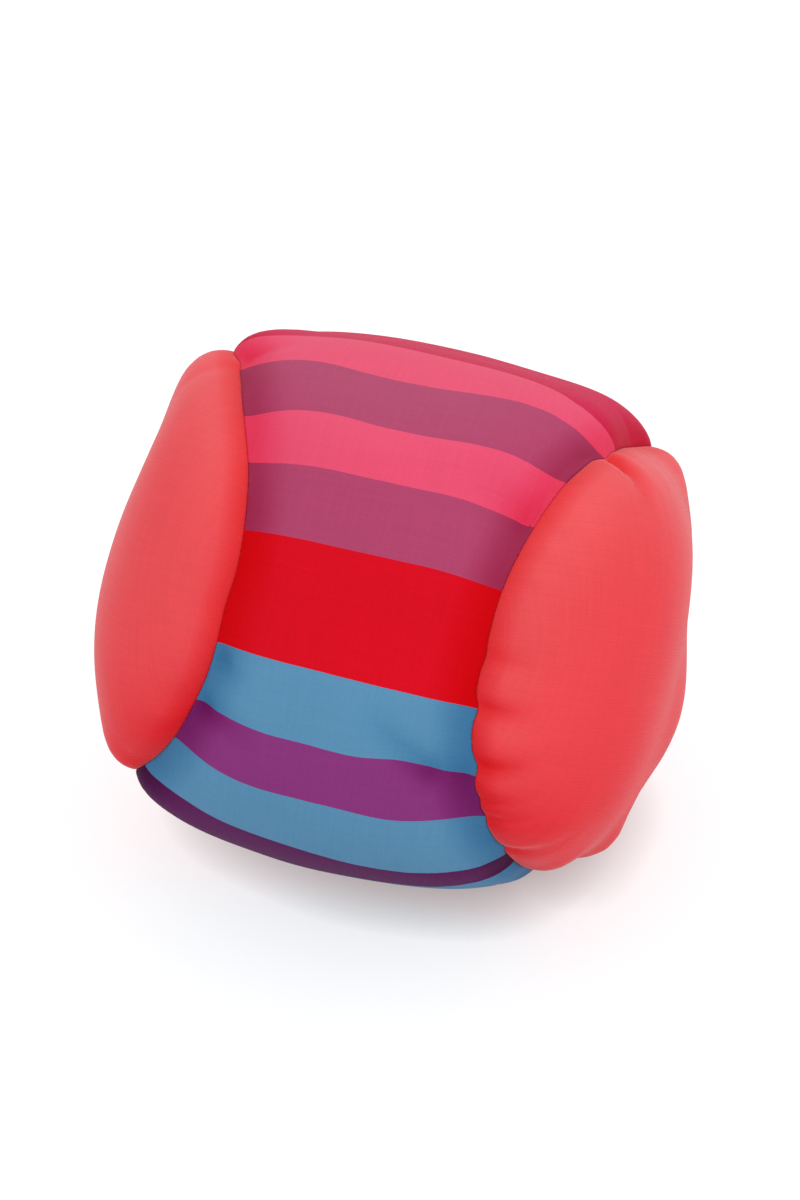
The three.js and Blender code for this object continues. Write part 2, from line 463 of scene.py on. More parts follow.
@dataclass(frozen=True)
class Pucker:
    """A small fold that runs from the seam into one panel."""

    place: float
    panel: Panel
    length: float
    width: float
    depth: float
    start: float = 1.5 * MM
    seam_pull: float = 0.5

    def _along(self, net: CoverNet, places: np.ndarray) -> np.ndarray:
        """Distances of places along the seam from the fold, in widths of the fold."""
        along = np.abs(places - self.place)
        return np.minimum(along, net.seam_length - along) / self.width

    def pull(self, net: CoverNet) -> np.ndarray:
        """How far the fold draws the seam aside at each station, positive into the striped panel."""
        along = self._along(net, net.seam_place)
        return self.panel.value * self.seam_pull * self.depth * np.exp(-(along**2))

    def lift(self, net: CoverNet, numbers: np.ndarray) -> np.ndarray:
        """How far the fold lowers a panel's points. At the seam itself it starts from nothing.

        Args:
            net: Net of the cover.
            numbers: Numbers of the panel's points.

        Returns:
            Heights, negative in the fold.
        """
        along = self._along(net, net.seam_place[net.station[numbers]])
        away = net.away[numbers]
        begun = 1 - np.exp(-away / self.start)
        return -self.depth * begun * np.exp(-(along**2) - (away / self.length) ** 2)


@dataclass(frozen=True)
class Bank:
    """A stretch of the seam beside which one panel lies lower than the other."""

    turns: tuple[float, float]
    panel: Panel
    depth: float
    reach: float
    ease: float = 14.0

    def lift(self, net: CoverNet, numbers: np.ndarray) -> np.ndarray:
        """How far the bank lowers a panel's points.

        Args:
            net: Net of the cover.
            numbers: Numbers of the panel's points.

        Returns:
            Heights, zero or negative.
        """
        turns = net.degrees(net.station[numbers])
        first, last = self.turns
        begun = smooth_step(first, first + self.ease, turns)
        ending = smooth_step(-last, self.ease - last, -turns)
        away = net.away[numbers] / self.reach
        return -self.depth * (begun * ending) * away * np.exp(1 - away)


@dataclass(frozen=True)
class Crease:
    """A soft fold of one panel from one place of the ball to another, deepest where it starts."""

    start: tuple[float, float, float]
    end: tuple[float, float, float]
    panel: Panel
    width: float
    depth: float
    run_out: float = 0.75
    rise_at_seam: float = 1.2 * MM

    def lift(self, net: CoverNet, numbers: np.ndarray) -> np.ndarray:
        """How far the fold lowers a panel's points.

        Args:
            net: Net of the cover.
            numbers: Numbers of the panel's points.

        Returns:
            Heights, negative in the fold.
        """
        first, last = unit(np.array((self.start, self.end)))
        line = last - first
        directions = net.directions[numbers]
        share = np.clip((directions - first) @ line / (line @ line), 0.0, 1.0)
        nearest = unit(first + share[:, None] * line)
        angle = np.arccos(np.clip((directions * nearest).sum(axis=1), -1.0, 1.0))
        aside = angle * float(net.form.half_sizes.mean()) / self.width
        begun = 1 - np.exp(-net.away[numbers] / self.rise_at_seam)
        return -self.depth * begun * (1 - self.run_out * share) * np.exp(-(aside**2))


@dataclass
class CoverShape:
    """Shape of the stuffed cover: seam valley, swellings of the filling, and puckers at the stitches.

    The seam's drifts, and the lengths and widths of the gathers, are in millimetres.
    """

    net: CoverNet
    valley_depth: float = 3.0 * MM
    valley_reach: float = 3.3 * MM
    valley_shoulder: float = 0.25 * MM
    shoulder_peak: float = 9 * MM
    lump_height: float = 0.35 * MM
    lump_size: float = 17 * MM
    stitch_pitch: float = STITCH_PITCH
    stitch_jitter: float = 0.2
    stitch_fold: tuple[float, float] = (2.2 * MM, 1.2 * MM)
    stitch_depth: float = 0.16 * MM
    gather_every: int = 5
    gather_lengths: tuple[float, float] = (3.5, 8.0)
    gather_widths: tuple[float, float] = (1.5, 2.6)
    gather_depth: float = 0.5 * MM
    least_strength: float = 0.3
    pull_reach: float = 2.5 * MM
    seed: int = 11
    swells: tuple[Swell, ...] = (
        Swell((-0.73, -0.29, 0.62), 8 * MM, 2.2 * MM),
        Swell((-0.86, -0.36, 0.36), 11 * MM, -1.7 * MM),
        Swell((-0.36, -0.12, 0.93), 10 * MM, -0.9 * MM),
        Swell((0.13, -0.08, 0.99), 10 * MM, -0.6 * MM),
        Swell((0.72, 0.16, 0.67), 6 * MM, 2.0 * MM),
        Swell((0.68, -0.29, -0.68), 6 * MM, 1.3 * MM),
        Swell((-0.63, -0.255, 0.735), 7 * MM, 1.5 * MM),
        Swell((0.83, 0.10, -0.55), 7 * MM, 2.15 * MM),
        Swell((0.885, 0.12, -0.45), 4.5 * MM, -2.3 * MM),
        Swell((0.96, 0.23, -0.15), 10 * MM, 1.6 * MM),
        Swell((0.93, 0.24, 0.28), 10 * MM, -1.4 * MM),
        Swell((0.80, 0.12, 0.58), 6 * MM, -0.35 * MM),
        Swell((0.56, 0.05, 0.82), 9 * MM, 0.8 * MM),
        Swell((0.30, -0.88, -0.38), 8 * MM, 0.5 * MM),
        Swell((-0.645, -0.40, -0.65), 7 * MM, 2.6 * MM),
        Swell((-0.47, -0.33, -0.82), 9 * MM, 0.9 * MM),
        Swell((-0.05, -0.27, -0.96), 13 * MM, 1.0 * MM),
        Swell((0.64, -0.07, -0.765), 5 * MM, 0.7 * MM),
        Swell((0.755, 0.04, -0.655), 4.5 * MM, 0.6 * MM),
    )
    banks: tuple[Bank, ...] = (
        Bank((8.0, 80.0), Panel.STRIPED, 2.2 * MM, 5.0 * MM),
        Bank((8.0, 80.0), Panel.PLAIN, -1.0 * MM, 5.0 * MM),
        Bank((190.0, 265.0), Panel.STRIPED, 1.6 * MM, 4.5 * MM),
        Bank((190.0, 265.0), Panel.PLAIN, -0.6 * MM, 4.5 * MM),
    )
    seam_drifts: tuple[tuple[float, float], ...] = (
        (0.0, 2.2),
        (6.0, 1.7),
        (12.0, 0.7),
        (24.0, 1.0),
        (31.0, 0.3),
        (37.0, -0.3),
        (44.0, -1.3),
        (48.0, -1.0),
        (55.0, 0.1),
        (62.0, 0.9),
        (72.0, 0.6),
        (82.0, 1.4),
        (96.0, 0.0),
        (180.0, 0.0),
        (192.0, -1.0),
        (206.0, 0.1),
        (214.0, -0.5),
        (222.0, -2.6),
        (230.0, -1.8),
        (238.0, -0.8),
        (247.0, -1.3),
        (262.0, -1.3),
        (276.0, 0.0),
        (330.0, 0.0),
        (350.0, 1.8),
        (360.0, 2.2),
    )
    drift_reach: float = 14 * MM
    drift_blur: int = 9
    turned_puckers: tuple[tuple[float, Panel, float, float, float], ...] = (
        (15.6, Panel.PLAIN, 4.5 * MM, 2.2 * MM, 1.3 * MM),
        (18.5, Panel.STRIPED, 4.0 * MM, 2.4 * MM, 0.35 * MM),
        (46.0, Panel.PLAIN, 4.0 * MM, 1.6 * MM, 0.7 * MM),
        (52.0, Panel.PLAIN, 4.2 * MM, 1.6 * MM, 1.5 * MM),
        (58.5, Panel.PLAIN, 4.4 * MM, 1.7 * MM, 1.6 * MM),
        (62.5, Panel.PLAIN, 3.2 * MM, 1.3 * MM, 1.0 * MM),
        (65.0, Panel.PLAIN, 3.2 * MM, 1.3 * MM, 1.0 * MM),
        (71.8, Panel.PLAIN, 3.6 * MM, 1.5 * MM, 1.2 * MM),
        (256.8, Panel.STRIPED, 5.0 * MM, 2.2 * MM, 1.0 * MM),
    )
    creases: tuple[Crease, ...] = (
        Crease((0.600, -0.462, 0.654), (0.680, -0.530, 0.500), Panel.PLAIN, 1.8 * MM, 1.9 * MM),
        Crease((0.316, -0.854, -0.413), (0.126, -0.945, -0.303), Panel.STRIPED, 1.8 * MM, 1.0 * MM),
        Crease((-0.444, -0.812, -0.377), (-0.267, -0.864, -0.426), Panel.STRIPED, 1.6 * MM, 1.1 * MM),
        Crease((-0.393, -0.889, -0.234), (-0.320, -0.912, -0.257), Panel.STRIPED, 1.5 * MM, 0.9 * MM),
        Crease((0.451, -0.799, -0.397), (0.309, -0.867, -0.390), Panel.STRIPED, 2.2 * MM, 0.8 * MM),
        Crease((0.439, -0.803, 0.403), (0.299, -0.834, 0.464), Panel.STRIPED, 3.2 * MM, 0.9 * MM),
    )
    # Painted shade by the seam and in the folds: its reach on each panel, the fold depth that gives it
    # fully, and its most.
    striped_shade_reach: float = 8 * MM
    plain_shade_reach: float = 3.5 * MM
    fully_shaded_fold_depth: float = 1.2 * MM
    most_painted_shade: float = 1.5

    def _place_of_turn(self, degrees: float) -> float:
        """Place along the seam of one turn.

        Args:
            degrees: The turn.

        Returns:
            Distance along the seam from its first station.
        """
        net = self.net
        share = ((math.radians(degrees) - math.radians(net.first_turn)) / (2 * math.pi)) % 1.0
        places = np.append(net.seam_place, net.seam_length)
        return float(np.interp(share * net.stations, np.arange(len(places)), places))

    def _large_puckers(self) -> list[Pucker]:
        """The puckers that the photograph shows one by one.

        Returns:
            The puckers.
        """
        return [
            Pucker(self._place_of_turn(turn), panel, length, width, depth)
            for turn, panel, length, width, depth in self.turned_puckers
        ]

    def _drift(self) -> np.ndarray:
        """How far aside the seam was sewn at each station, positive into the striped panel.

        Returns:
            Distances, smoothed along the seam.
        """
        turns = self.net.degrees(np.arange(self.net.stations))
        known = np.array(self.seam_drifts)
        drift = np.interp(turns % 360.0, known[:, 0], known[:, 1]) * MM
        kernel = np.hanning(self.drift_blur)
        kernel /= kernel.sum()
        margin = self.drift_blur
        padded = np.concatenate((drift[-margin:], drift, drift[:margin]))
        return np.convolve(padded, kernel, "same")[margin:-margin]

    def _pulled(self) -> np.ndarray:
        """Draws the seam aside by its drift and by the large puckers.

        Returns:
            New unit directions of all the net's points.
        """
        net = self.net
        pull = sum(pucker.pull(net) for pucker in self._large_puckers())
        radius = net.form.radius(net.seam)
        near = (pull / radius)[net.station] * np.exp(-net.away / self.pull_reach)
        wide = (self._drift() / radius)[net.station] * np.exp(-((net.away / self.drift_reach) ** 2))
        return unit(net.directions + net.inward[net.station] * (near + wide)[:, None])

    def _puckers(self) -> list[Pucker]:
        """Every pucker: the large ones, and a small one at each stitch of each panel.

        Returns:
            The puckers.
        """
        puckers = self._large_puckers()
        draw = np.random.default_rng(self.seed)
        stitches = round(self.net.seam_length / self.stitch_pitch)
        pitch = self.net.seam_length / stitches
        for panel in Panel:
            for stitch in range(stitches):
                place = pitch * (stitch + draw.uniform(-self.stitch_jitter, self.stitch_jitter))
                strength = draw.uniform(self.least_strength, 1.0)
                length, width = self.stitch_fold
                depth = self.stitch_depth
                if draw.random() < 1 / self.gather_every:
                    length = draw.uniform(*self.gather_lengths) * MM
                    width = draw.uniform(*self.gather_widths) * MM
                    depth = self.gather_depth
                puckers.append(Pucker(place, panel, length, width, depth * strength))
        return puckers

    def points(self) -> np.ndarray:
        """Shapes the cover before its cloth is relaxed.

        Returns:
            The net's points in the floor's frame.
        """
        net = self.net
        directions = self._pulled()
        radii = net.form.radius(directions)
        mean_radius = float(radii.mean())
        valley = self.valley_depth * np.exp(-net.away / self.valley_reach)
        from_peak = (net.away - self.shoulder_peak) / self.shoulder_peak
        lift = self.valley_shoulder * np.exp(-(from_peak**2)) - valley
        for swell in self.swells:
            lift += swell.lift(directions, mean_radius)
        spots = (directions * (mean_radius / self.lump_size)).tolist()
        lift += self.lump_height * np.array([noise.noise(Vector(spot)) for spot in spots])
        lift += self._lifts((*self.banks, *self._puckers(), *self.creases))
        return net.form.laid(directions * (radii + lift)[:, None])

    def _lifts(self, dips: tuple[Bank | Pucker | Crease, ...]) -> np.ndarray:
        """Adds up what banks, puckers and creases do to the cover.

        Args:
            dips: The banks, puckers and creases.

        Returns:
            A height for each of the net's points.
        """
        members = {panel: self.net.members(panel) for panel in Panel}
        lift = np.zeros(len(self.net.directions))
        for dip in dips:
            numbers = members[dip.panel]
            lift[numbers] += dip.lift(self.net, numbers)
        return lift

    def painted_seam_shade(self) -> np.ndarray:
        """How much painted shade the cover gets: most by the seam and in the folds.

        Returns:
            A value for each of the net's points, 0 in the open.
        """
        reach = np.full(len(self.net.directions), self.striped_shade_reach)
        reach[self.net.members(Panel.PLAIN)] = self.plain_shade_reach
        by_seam = 1 - smooth_step(0.0, 1.0, self.net.away / reach)
        folds = self._lifts((*self._large_puckers(), *self.creases))
        return np.clip(by_seam - folds / self.fully_shaded_fold_depth, 0.0, self.most_painted_shade)


@dataclass
class SeamGather:
    """Cloth simulation that lets the cover swell and gather between the seam and the filling."""

    net: CoverNet
    enlarged: float = 10.0
    frames: int = 20
    quality: int = 6
    mass: float = 0.3
    stretch_stiffness: float = 15.0
    shear_stiffness: float = 5.0
    bending_stiffness: float = 0.05
    pressure: float = 5.0
    slack: float = 0.10
    free_from: float = 1.0 * MM
    held_from: float = 15.0 * MM
    band_hold: float = 0.01
    most_movement: float = 1.2 * MM
    resting_height: float = 0.05 * MM

    def _weights(self) -> dict[str, np.ndarray]:
        """How firmly each point is held, and how much spare cloth it has.

        Returns:
            The weights of all points, by the name of their group.
        """
        away = self.net.away
        eased = smooth_step(self.free_from, self.held_from, away)
        held = np.clip(self.band_hold + eased**2, 0.0, 1.0)
        held = np.where(away < self.free_from / 2, 1.0, held)
        return {"held": held, "spare": 1 - eased}

    def _cloth(self, points: np.ndarray) -> bpy.types.Object:
        """Makes the cloth that is simulated.

        Args:
            points: The cover's points in the floor's frame.

        Returns:
            The enlarged cover with its weights and its cloth modifier.
        """
        cloth = new_piece("gathering_cloth", points * self.enlarged, self.net.all_triangles.tolist())
        for name, weights in self._weights().items():
            group = cloth.vertex_groups.new(name=name)
            for number, weight in enumerate(weights.tolist()):
                group.add((number,), weight, "REPLACE")
        modifier = cloth.modifiers.new("gather", "CLOTH")
        settings = modifier.settings
        settings.quality = self.quality
        settings.mass = self.mass
        settings.tension_stiffness = self.stretch_stiffness
        settings.compression_stiffness = self.stretch_stiffness
        settings.shear_stiffness = self.shear_stiffness
        settings.bending_stiffness = self.bending_stiffness
        settings.effector_weights.gravity = 0.0
        settings.use_pressure = True
        settings.uniform_pressure_force = self.pressure
        settings.vertex_group_mass = "held"
        settings.vertex_group_shrink = "spare"
        settings.shrink_min = 0.0
        settings.shrink_max = -self.slack
        modifier.collision_settings.use_collision = False
        modifier.collision_settings.use_self_collision = False
        modifier.point_cache.frame_start = 1
        modifier.point_cache.frame_end = self.frames
        return cloth

    def relaxed(self, points: np.ndarray) -> np.ndarray:
        """Simulates the cloth and returns its points at rest.

        Args:
            points: The cover's points in the floor's frame.

        Returns:
            The points after the simulation, none moved further than the cap or below the floor.
        """
        cloth = self._cloth(points)
        scene = bpy.context.scene
        for number in range(1, self.frames + 1):
            scene.frame_set(number)
        evaluated = cloth.evaluated_get(bpy.context.evaluated_depsgraph_get())
        moved = vertex_rows(evaluated.data, "co") / self.enlarged
        scene.frame_set(1)
        mesh = cloth.data
        bpy.data.objects.remove(cloth)
        bpy.data.meshes.remove(mesh)
        return self._capped(points, moved)

    def _capped(self, points: np.ndarray, moved: np.ndarray) -> np.ndarray:
        """Limits the movement softly and keeps every point on or above the floor.

        Args:
            points: Points before the simulation.
            moved: Points after it.

        Returns:
            The points to use.
        """
        shift = moved - points
        length = np.linalg.norm(shift, axis=1, keepdims=True)
        cap = self.most_movement
        shift *= cap * np.tanh(length / cap) / np.maximum(length, TINY)
        log.info("cloth moved by %.2f mm at most", float(length.max()) / MM)
        settled = points + shift
        resting = points[:, 2] < self.resting_height
        settled[resting] = points[resting]
        settled[:, 2] = np.maximum(settled[:, 2], 0.0)
        return settled


@dataclass(frozen=True)
class StripeLay:
    """Where the edges of the stripes run over the stuffed waist. Away from it they lie as cut.

    Each edge has its place on the cloth, and its places along the waist at each distance across.
    """

    across: tuple[float, ...] = (-27, -21, -15, -9, -3, 3, 9, 15, 21, 27)
    edges: tuple[tuple[float, tuple[float, ...]], ...] = (
        (-75.0, (-75.0,) * 10),
        (-57.4, (-57.4, -57.4, -57.4, -57.4, -57.2, -56.7, -55.7, -54.5, -53.7, -53.4)),
        (-43.4, (-48.0, -45.8, -44.3, -42.9, -42.8, -44.0, -45.1, -46.6, -47.7, -48.5)),
        (-29.5, (-31.4, -30.8, -30.1, -29.5, -28.9, -28.9, -29.5, -29.8, -30.4, -30.8)),
        (-19.9, (-19.7, -19.7, -19.6, -19.3, -18.9, -19.1, -18.4, -19.8, -20.9, -21.0)),
        (-8.9, (-9.7, -9.6, -9.2, -8.7, -8.4, -8.5, -8.8, -9.2, -9.6, -9.7)),
        (9.2, (9.9, 10.0, 10.3, 10.2, 10.1, 10.3, 10.6, 10.5, 10.2, 10.1)),
        (19.9, (20.6, 20.5, 20.4, 20.2, 20.0, 20.2, 20.7, 20.9, 20.7, 20.6)),
        (28.5, (30.4, 30.4, 30.3, 29.6, 28.7, 29.0, 30.3, 31.5, 31.6, 31.5)),
        (39.0, (47.5, 44.9, 42.1, 39.9, 39.1, 39.8, 42.0, 44.7, 45.8, 45.4)),
        (52.0, (56.4, 55.2, 53.0, 51.9, 51.7, 52.1, 53.4, 53.9, 52.8, 52.6)),
        (85.0, (85.0,) * 10),
    )

    def drawn(self, places: np.ndarray) -> np.ndarray:
        """Place along the cloth that each place of the evenly laid panel shows.

        Args:
            places: Across and along the panel.

        Returns:
            Along the cloth, in metres from the middle of the waist.
        """
        knots = np.array(self.across) * MM
        cloth = np.array([place for place, _ in self.edges]) * MM
        lines = [smooth_curve(places[:, 0], knots, np.array(line) * MM) for _, line in self.edges]
        along = places[:, 1].copy()
        for number, (low, high) in enumerate(zip(lines, lines[1:])):
            between = (places[:, 1] >= low) & (places[:, 1] < high)
            share = (places[:, 1] - low) / (high - low)
            shown = cloth[number] + share * (cloth[number + 1] - cloth[number])
            along = np.where(between, shown, along)
        return along


@dataclass(frozen=True)
class FlatCut:
    """Lays a panel out flat: where each of its points was on the cloth before sewing."""

    form: BallForm
    lobe_middle: float = math.radians(100)
    upper_easing: tuple[float, float] = (math.radians(20), math.radians(150))
    lower_easing: tuple[float, float] = (math.radians(15), math.radians(85))
    arc_samples: int = 2000

    def along(self, around: np.ndarray) -> np.ndarray:
        """Arc lengths on the panel's middle line.

        Args:
            around: Angles round the middle line, from the waist.

        Returns:
            Distances along the cloth from the middle of the waist.
        """
        angles = np.linspace(-math.pi, math.pi, self.arc_samples)
        line = np.stack((np.zeros_like(angles), -np.cos(angles), np.sin(angles)), -1)
        points = line * self.form.radius(line)[:, None]
        steps = np.linalg.norm(np.diff(points, axis=0), axis=1)
        arc = np.concatenate(((0.0,), np.cumsum(steps)))
        return np.interp(around, angles, arc - arc[-1] / 2)

    def place(self, directions: np.ndarray) -> np.ndarray:
        """Places on the flat cloth.

        Args:
            directions: Unit directions of the striped panel, or the plain panel's turned back.

        Returns:
            Across and along the cloth, in metres from the middle of the waist.
        """
        around = np.arctan2(directions[:, 2], -directions[:, 1])
        aside = np.arcsin(np.clip(directions[:, 0], -1.0, 1.0))
        middle = np.sign(around) * self.lobe_middle
        level = middle + np.arcsin(np.cos(aside) * np.sin(around - middle))
        upper = smooth_step(*self.upper_easing, around)
        lower = smooth_step(*self.lower_easing, -around)
        share = np.where(around > 0, upper, lower)
        mean_radius = float(self.form.half_sizes.mean())
        return np.stack((aside * mean_radius, self.along((1 - share) * around + share * level)), -1)


def new_piece(
    name: str,
    points: np.ndarray,
    faces: list[list[int]],
    maps: dict[str, np.ndarray] | None = None,
    marks: dict[str, np.ndarray] | None = None,
) -> bpy.types.Object:
    """Makes a smooth mesh object.

    Args:
        name: Name of the piece.
        points: Vertices in the floor's frame.
        faces: Vertex numbers of each face.
        maps: UV maps by name, with one place for each vertex or for each face's corner.
        marks: Values for each vertex, by name.

    Returns:
        The object, linked to the scene.
    """
    mesh = bpy.data.meshes.new(name)
    mesh.from_pydata(points.tolist(), [], faces)
    corners = np.empty(len(mesh.loops), dtype=np.int32)
    mesh.loops.foreach_get("vertex_index", corners)
    for map_name, places in (maps or {}).items():
        layer = mesh.uv_layers.new(name=map_name)
        by_corner = places[corners] if len(places) == len(points) else places
        layer.data.foreach_set("uv", by_corner.ravel())
    for mark_name, values in (marks or {}).items():
        mesh.attributes.new(mark_name, "FLOAT", "POINT").data.foreach_set("value", values)
    mesh.shade_smooth()
    piece = bpy.data.objects.new(name, mesh)
    bpy.context.scene.collection.objects.link(piece)
    return piece


def vertex_rows(mesh: bpy.types.Mesh, key: str) -> np.ndarray:
    """Reads one vector of every vertex.

    Args:
        mesh: Mesh to read.
        key: Name of the vertices' property.

    Returns:
        A row of three for each vertex.
    """
    values = np.empty(len(mesh.vertices) * 3)
    mesh.vertices.foreach_get(key, values)
    return values.reshape(-1, 3)


def apply_modifiers(piece: bpy.types.Object) -> None:
    """Replaces a piece's mesh by what its modifiers make of it, and removes them.

    Args:
        piece: Piece with one modifier or more.
    """
    evaluated = piece.evaluated_get(bpy.context.evaluated_depsgraph_get())
    made = bpy.data.meshes.new_from_object(evaluated)
    rough = piece.data
    piece.modifiers.clear()
    piece.data = made
    made.name = piece.name
    bpy.data.meshes.remove(rough)


def round_once(piece: bpy.types.Object) -> None:
    """Rounds a piece by one step of subdivision.

    Args:
        piece: Piece to round.
    """
    rounding = piece.modifiers.new("rounding", "SUBSURF")
    rounding.levels = 1
    rounding.render_levels = 1
    rounding.use_limit_surface = False
    apply_modifiers(piece)


def thicken(piece: bpy.types.Object, cloth: float) -> None:
    """Gives a sheet its thickness, to the inside.

    Args:
        piece: The sheet.
        cloth: Thickness of its cloth.
    """
    thickness = piece.modifiers.new("thickness", "SOLIDIFY")
    thickness.thickness = cloth
    thickness.offset = -1.0
    apply_modifiers(piece)


def hand_over(piece: bpy.types.Object, node: str, material: bpy.types.Material) -> None:
    """Dresses a piece and ties it to the frame.

    Args:
        piece: The finished piece.
        node: CAD node that it stands for.
        material: Finish of the piece.
    """
    piece.data.materials.clear()
    piece.data.materials.append(material)
    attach(piece, BODY)
    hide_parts(node)
    log.info("%s: %d faces, for %s", piece.name, len(piece.data.polygons), node)


@dataclass
class CoverPanel:
    """One cover panel: its outer face, its folded edge and the allowance that lies back under it.

    Each folded row has the number of its ring beside the seam, how far it lies aside, and its depth.
    """

    net: CoverNet
    points: np.ndarray
    # Painted shade of each net point, by the seam and in the folds.
    painted_seam_shade: np.ndarray
    panel: Panel
    name: str
    node: str
    slot: str
    lay: StripeLay | None = None
    cloth: float = 0.6 * MM
    seam_gap: float = 0.06 * MM
    fold_rows: tuple[tuple[int, float, float], ...] = (
        (0, -0.02 * MM, 0.45 * MM),
        (0, 0.12 * MM, 1.05 * MM),
        (1, 0.0, 1.75 * MM),
        (2, 0.0, 2.1 * MM),
        (3, 0.0, 2.2 * MM),
        (4, 0.0, 2.2 * MM),
        (5, 0.0, 2.2 * MM),
    )
    fill: float = 0.85
    bake_margin: float = 0.01
    bake_column: float = 0.5

    @property
    def _aside(self) -> np.ndarray:
        """Directions from the seam into this panel, in the floor's frame."""
        return (self.net.inward * self.panel.value) @ self.net.form.attitude.T

    def _fold(self, cut: np.ndarray, edge: np.ndarray) -> tuple[np.ndarray, np.ndarray]:
        """The folded-in rows beside the seam.

        Args:
            cut: Places of the net's points on the flat cloth.
            edge: Points of the panel's edge at the seam.

        Returns:
            Points and places on the flat cloth, row after row.
        """
        net = self.net
        turn = net.form.attitude.T
        aside = self._aside
        edge_places = cut[net.ring(self.panel, 0)]
        outwards = unit(edge_places - cut[net.ring(self.panel, 2)])
        rows = [edge]
        places = []
        cloth_used = 0.0
        for ring, away, depth in self.fold_rows:
            numbers = net.ring(self.panel, ring)
            out = net.directions[numbers] @ turn
            row = self.points[numbers] + aside * away - out * depth
            row[:, 2] = np.maximum(row[:, 2], self.cloth)
            cloth_used += np.linalg.norm(row - rows[-1], axis=1).mean()
            rows.append(row)
            places.append(edge_places + outwards * cloth_used)
        return np.concatenate(rows[1:]), np.concatenate(places)

    def _fold_faces(self, first: int) -> np.ndarray:
        """Faces of the folded rows.

        Args:
            first: Number of the first folded vertex.

        Returns:
            Rows of four vertex numbers.
        """
        count = self.net.stations
        here = np.arange(count)
        following = np.roll(here, -1)
        starts = [0, *(first + count * row for row in range(len(self.fold_rows)))]
        faces = []
        for upper, lower in zip(starts, starts[1:]):
            quads = np.stack((upper + here, upper + following, lower + following, lower + here), -1)
            faces.append(quads if self.panel is Panel.STRIPED else quads[:, ::-1])
        return np.concatenate(faces)

    def build(self, flat_cut: FlatCut) -> bpy.types.Object:
        """Builds the panel as a closed piece of cloth.

        Args:
            flat_cut: How the panel lies flat.

        Returns:
            The panel's object.
        """
        net = self.net
        members = net.members(self.panel)
        shown = np.concatenate((np.arange(net.stations), members))
        cut = flat_cut.place(net.turned_back(self.panel))
        if self.lay is not None:
            cut[:, 1] = self.lay.drawn(cut)
        edge = self.points[: net.stations] + self._aside * self.seam_gap / 2
        fold_points, fold_places = self._fold(cut, edge)
        points = np.concatenate((edge, self.points[members], fold_points))
        places = np.concatenate((cut[shown], fold_places))
        # The folded rows lie in full painted shade.
        painted_seam_shade = np.ones(len(points))
        painted_seam_shade[: len(shown)] = self.painted_seam_shade[shown]
        faces = net.triangles_among(self.panel, shown).tolist()
        faces += self._fold_faces(len(shown)).tolist()
        piece = self._sheet(points, faces, places, painted_seam_shade)
        return piece

    def _sheet(
        self, points: np.ndarray, faces: list[list[int]], places: np.ndarray, painted_seam_shade: np.ndarray
    ) -> bpy.types.Object:
        """Rounds the net once, gives it the cloth's thickness and sets its maps.

        Args:
            points: Vertices in the floor's frame.
            faces: Vertex numbers of each face.
            places: Place of each vertex on the flat cloth.
            painted_seam_shade: How much painted shade each vertex gets, by the seam and in the folds.

        Returns:
            The panel's object.
        """
        low, high = places.min(axis=0), places.max(axis=0)
        room = np.array((self.bake_column, 1.0)) - 2 * self.bake_margin
        baked = self.bake_margin + room * ((places - low) / (high - low))
        maps = {CLOTH_MAP: places, BAKE_MAP: baked}
        piece = new_piece(self.name, points, faces, maps, {PAINTED_SHADE_MARK: painted_seam_shade})
        round_once(piece)
        outer_faces = len(piece.data.polygons)
        thicken(piece, self.cloth)
        layer = piece.data.uv_layers[BAKE_MAP]
        values = np.empty(len(piece.data.loops) * 2)
        layer.data.foreach_get("uv", values)
        values = values.reshape(-1, 2)
        first_inner = piece.data.polygons[outer_faces].loop_start
        values[first_inner:, 0] += self.bake_column
        layer.data.foreach_set("uv", values.ravel())
        return piece


@dataclass
class SeamTrack:
    """Places beside and below the sewn seam, for whatever runs along it."""

    net: CoverNet
    points: np.ndarray

    def at(self, place: np.ndarray, away: np.ndarray, depth: np.ndarray) -> np.ndarray:
        """Points beside the seam and below the cover's face.

        Args:
            place: Distances along the seam.
            away: Distances from the seam, positive into the striped panel.
            depth: Distances below the cover's face.

        Returns:
            Points in the floor's frame.
        """
        net = self.net
        bounds = np.array((0.0, *net.rings))
        ring_place = np.interp(np.abs(away), bounds, np.arange(len(bounds)))
        ring = np.minimum(np.floor(ring_place).astype(int), len(net.rings) - 1)
        ring_share = (ring_place - ring)[:, None]
        ends = np.append(net.seam_place, net.seam_length)
        position = np.interp(place % net.seam_length, ends, np.arange(len(ends)))
        here = np.floor(position).astype(int) % net.stations
        following = (here + 1) % net.stations
        share = (position - np.floor(position))[:, None]
        face = np.zeros((len(position), 3))
        for panel in Panel:
            rows = np.stack([self.points[net.ring(panel, number)] for number in range(len(bounds))])
            inner = between(rows[ring, here], rows[ring, following], share)
            outer = between(rows[ring + 1, here], rows[ring + 1, following], share)
            on_panel = (away * panel.value >= 0)[:, None]
            face = np.where(on_panel, between(inner, outer, ring_share), face)
        out = between(net.seam[here], net.seam[following], share) @ net.form.attitude.T
        return face - out * depth[:, None]


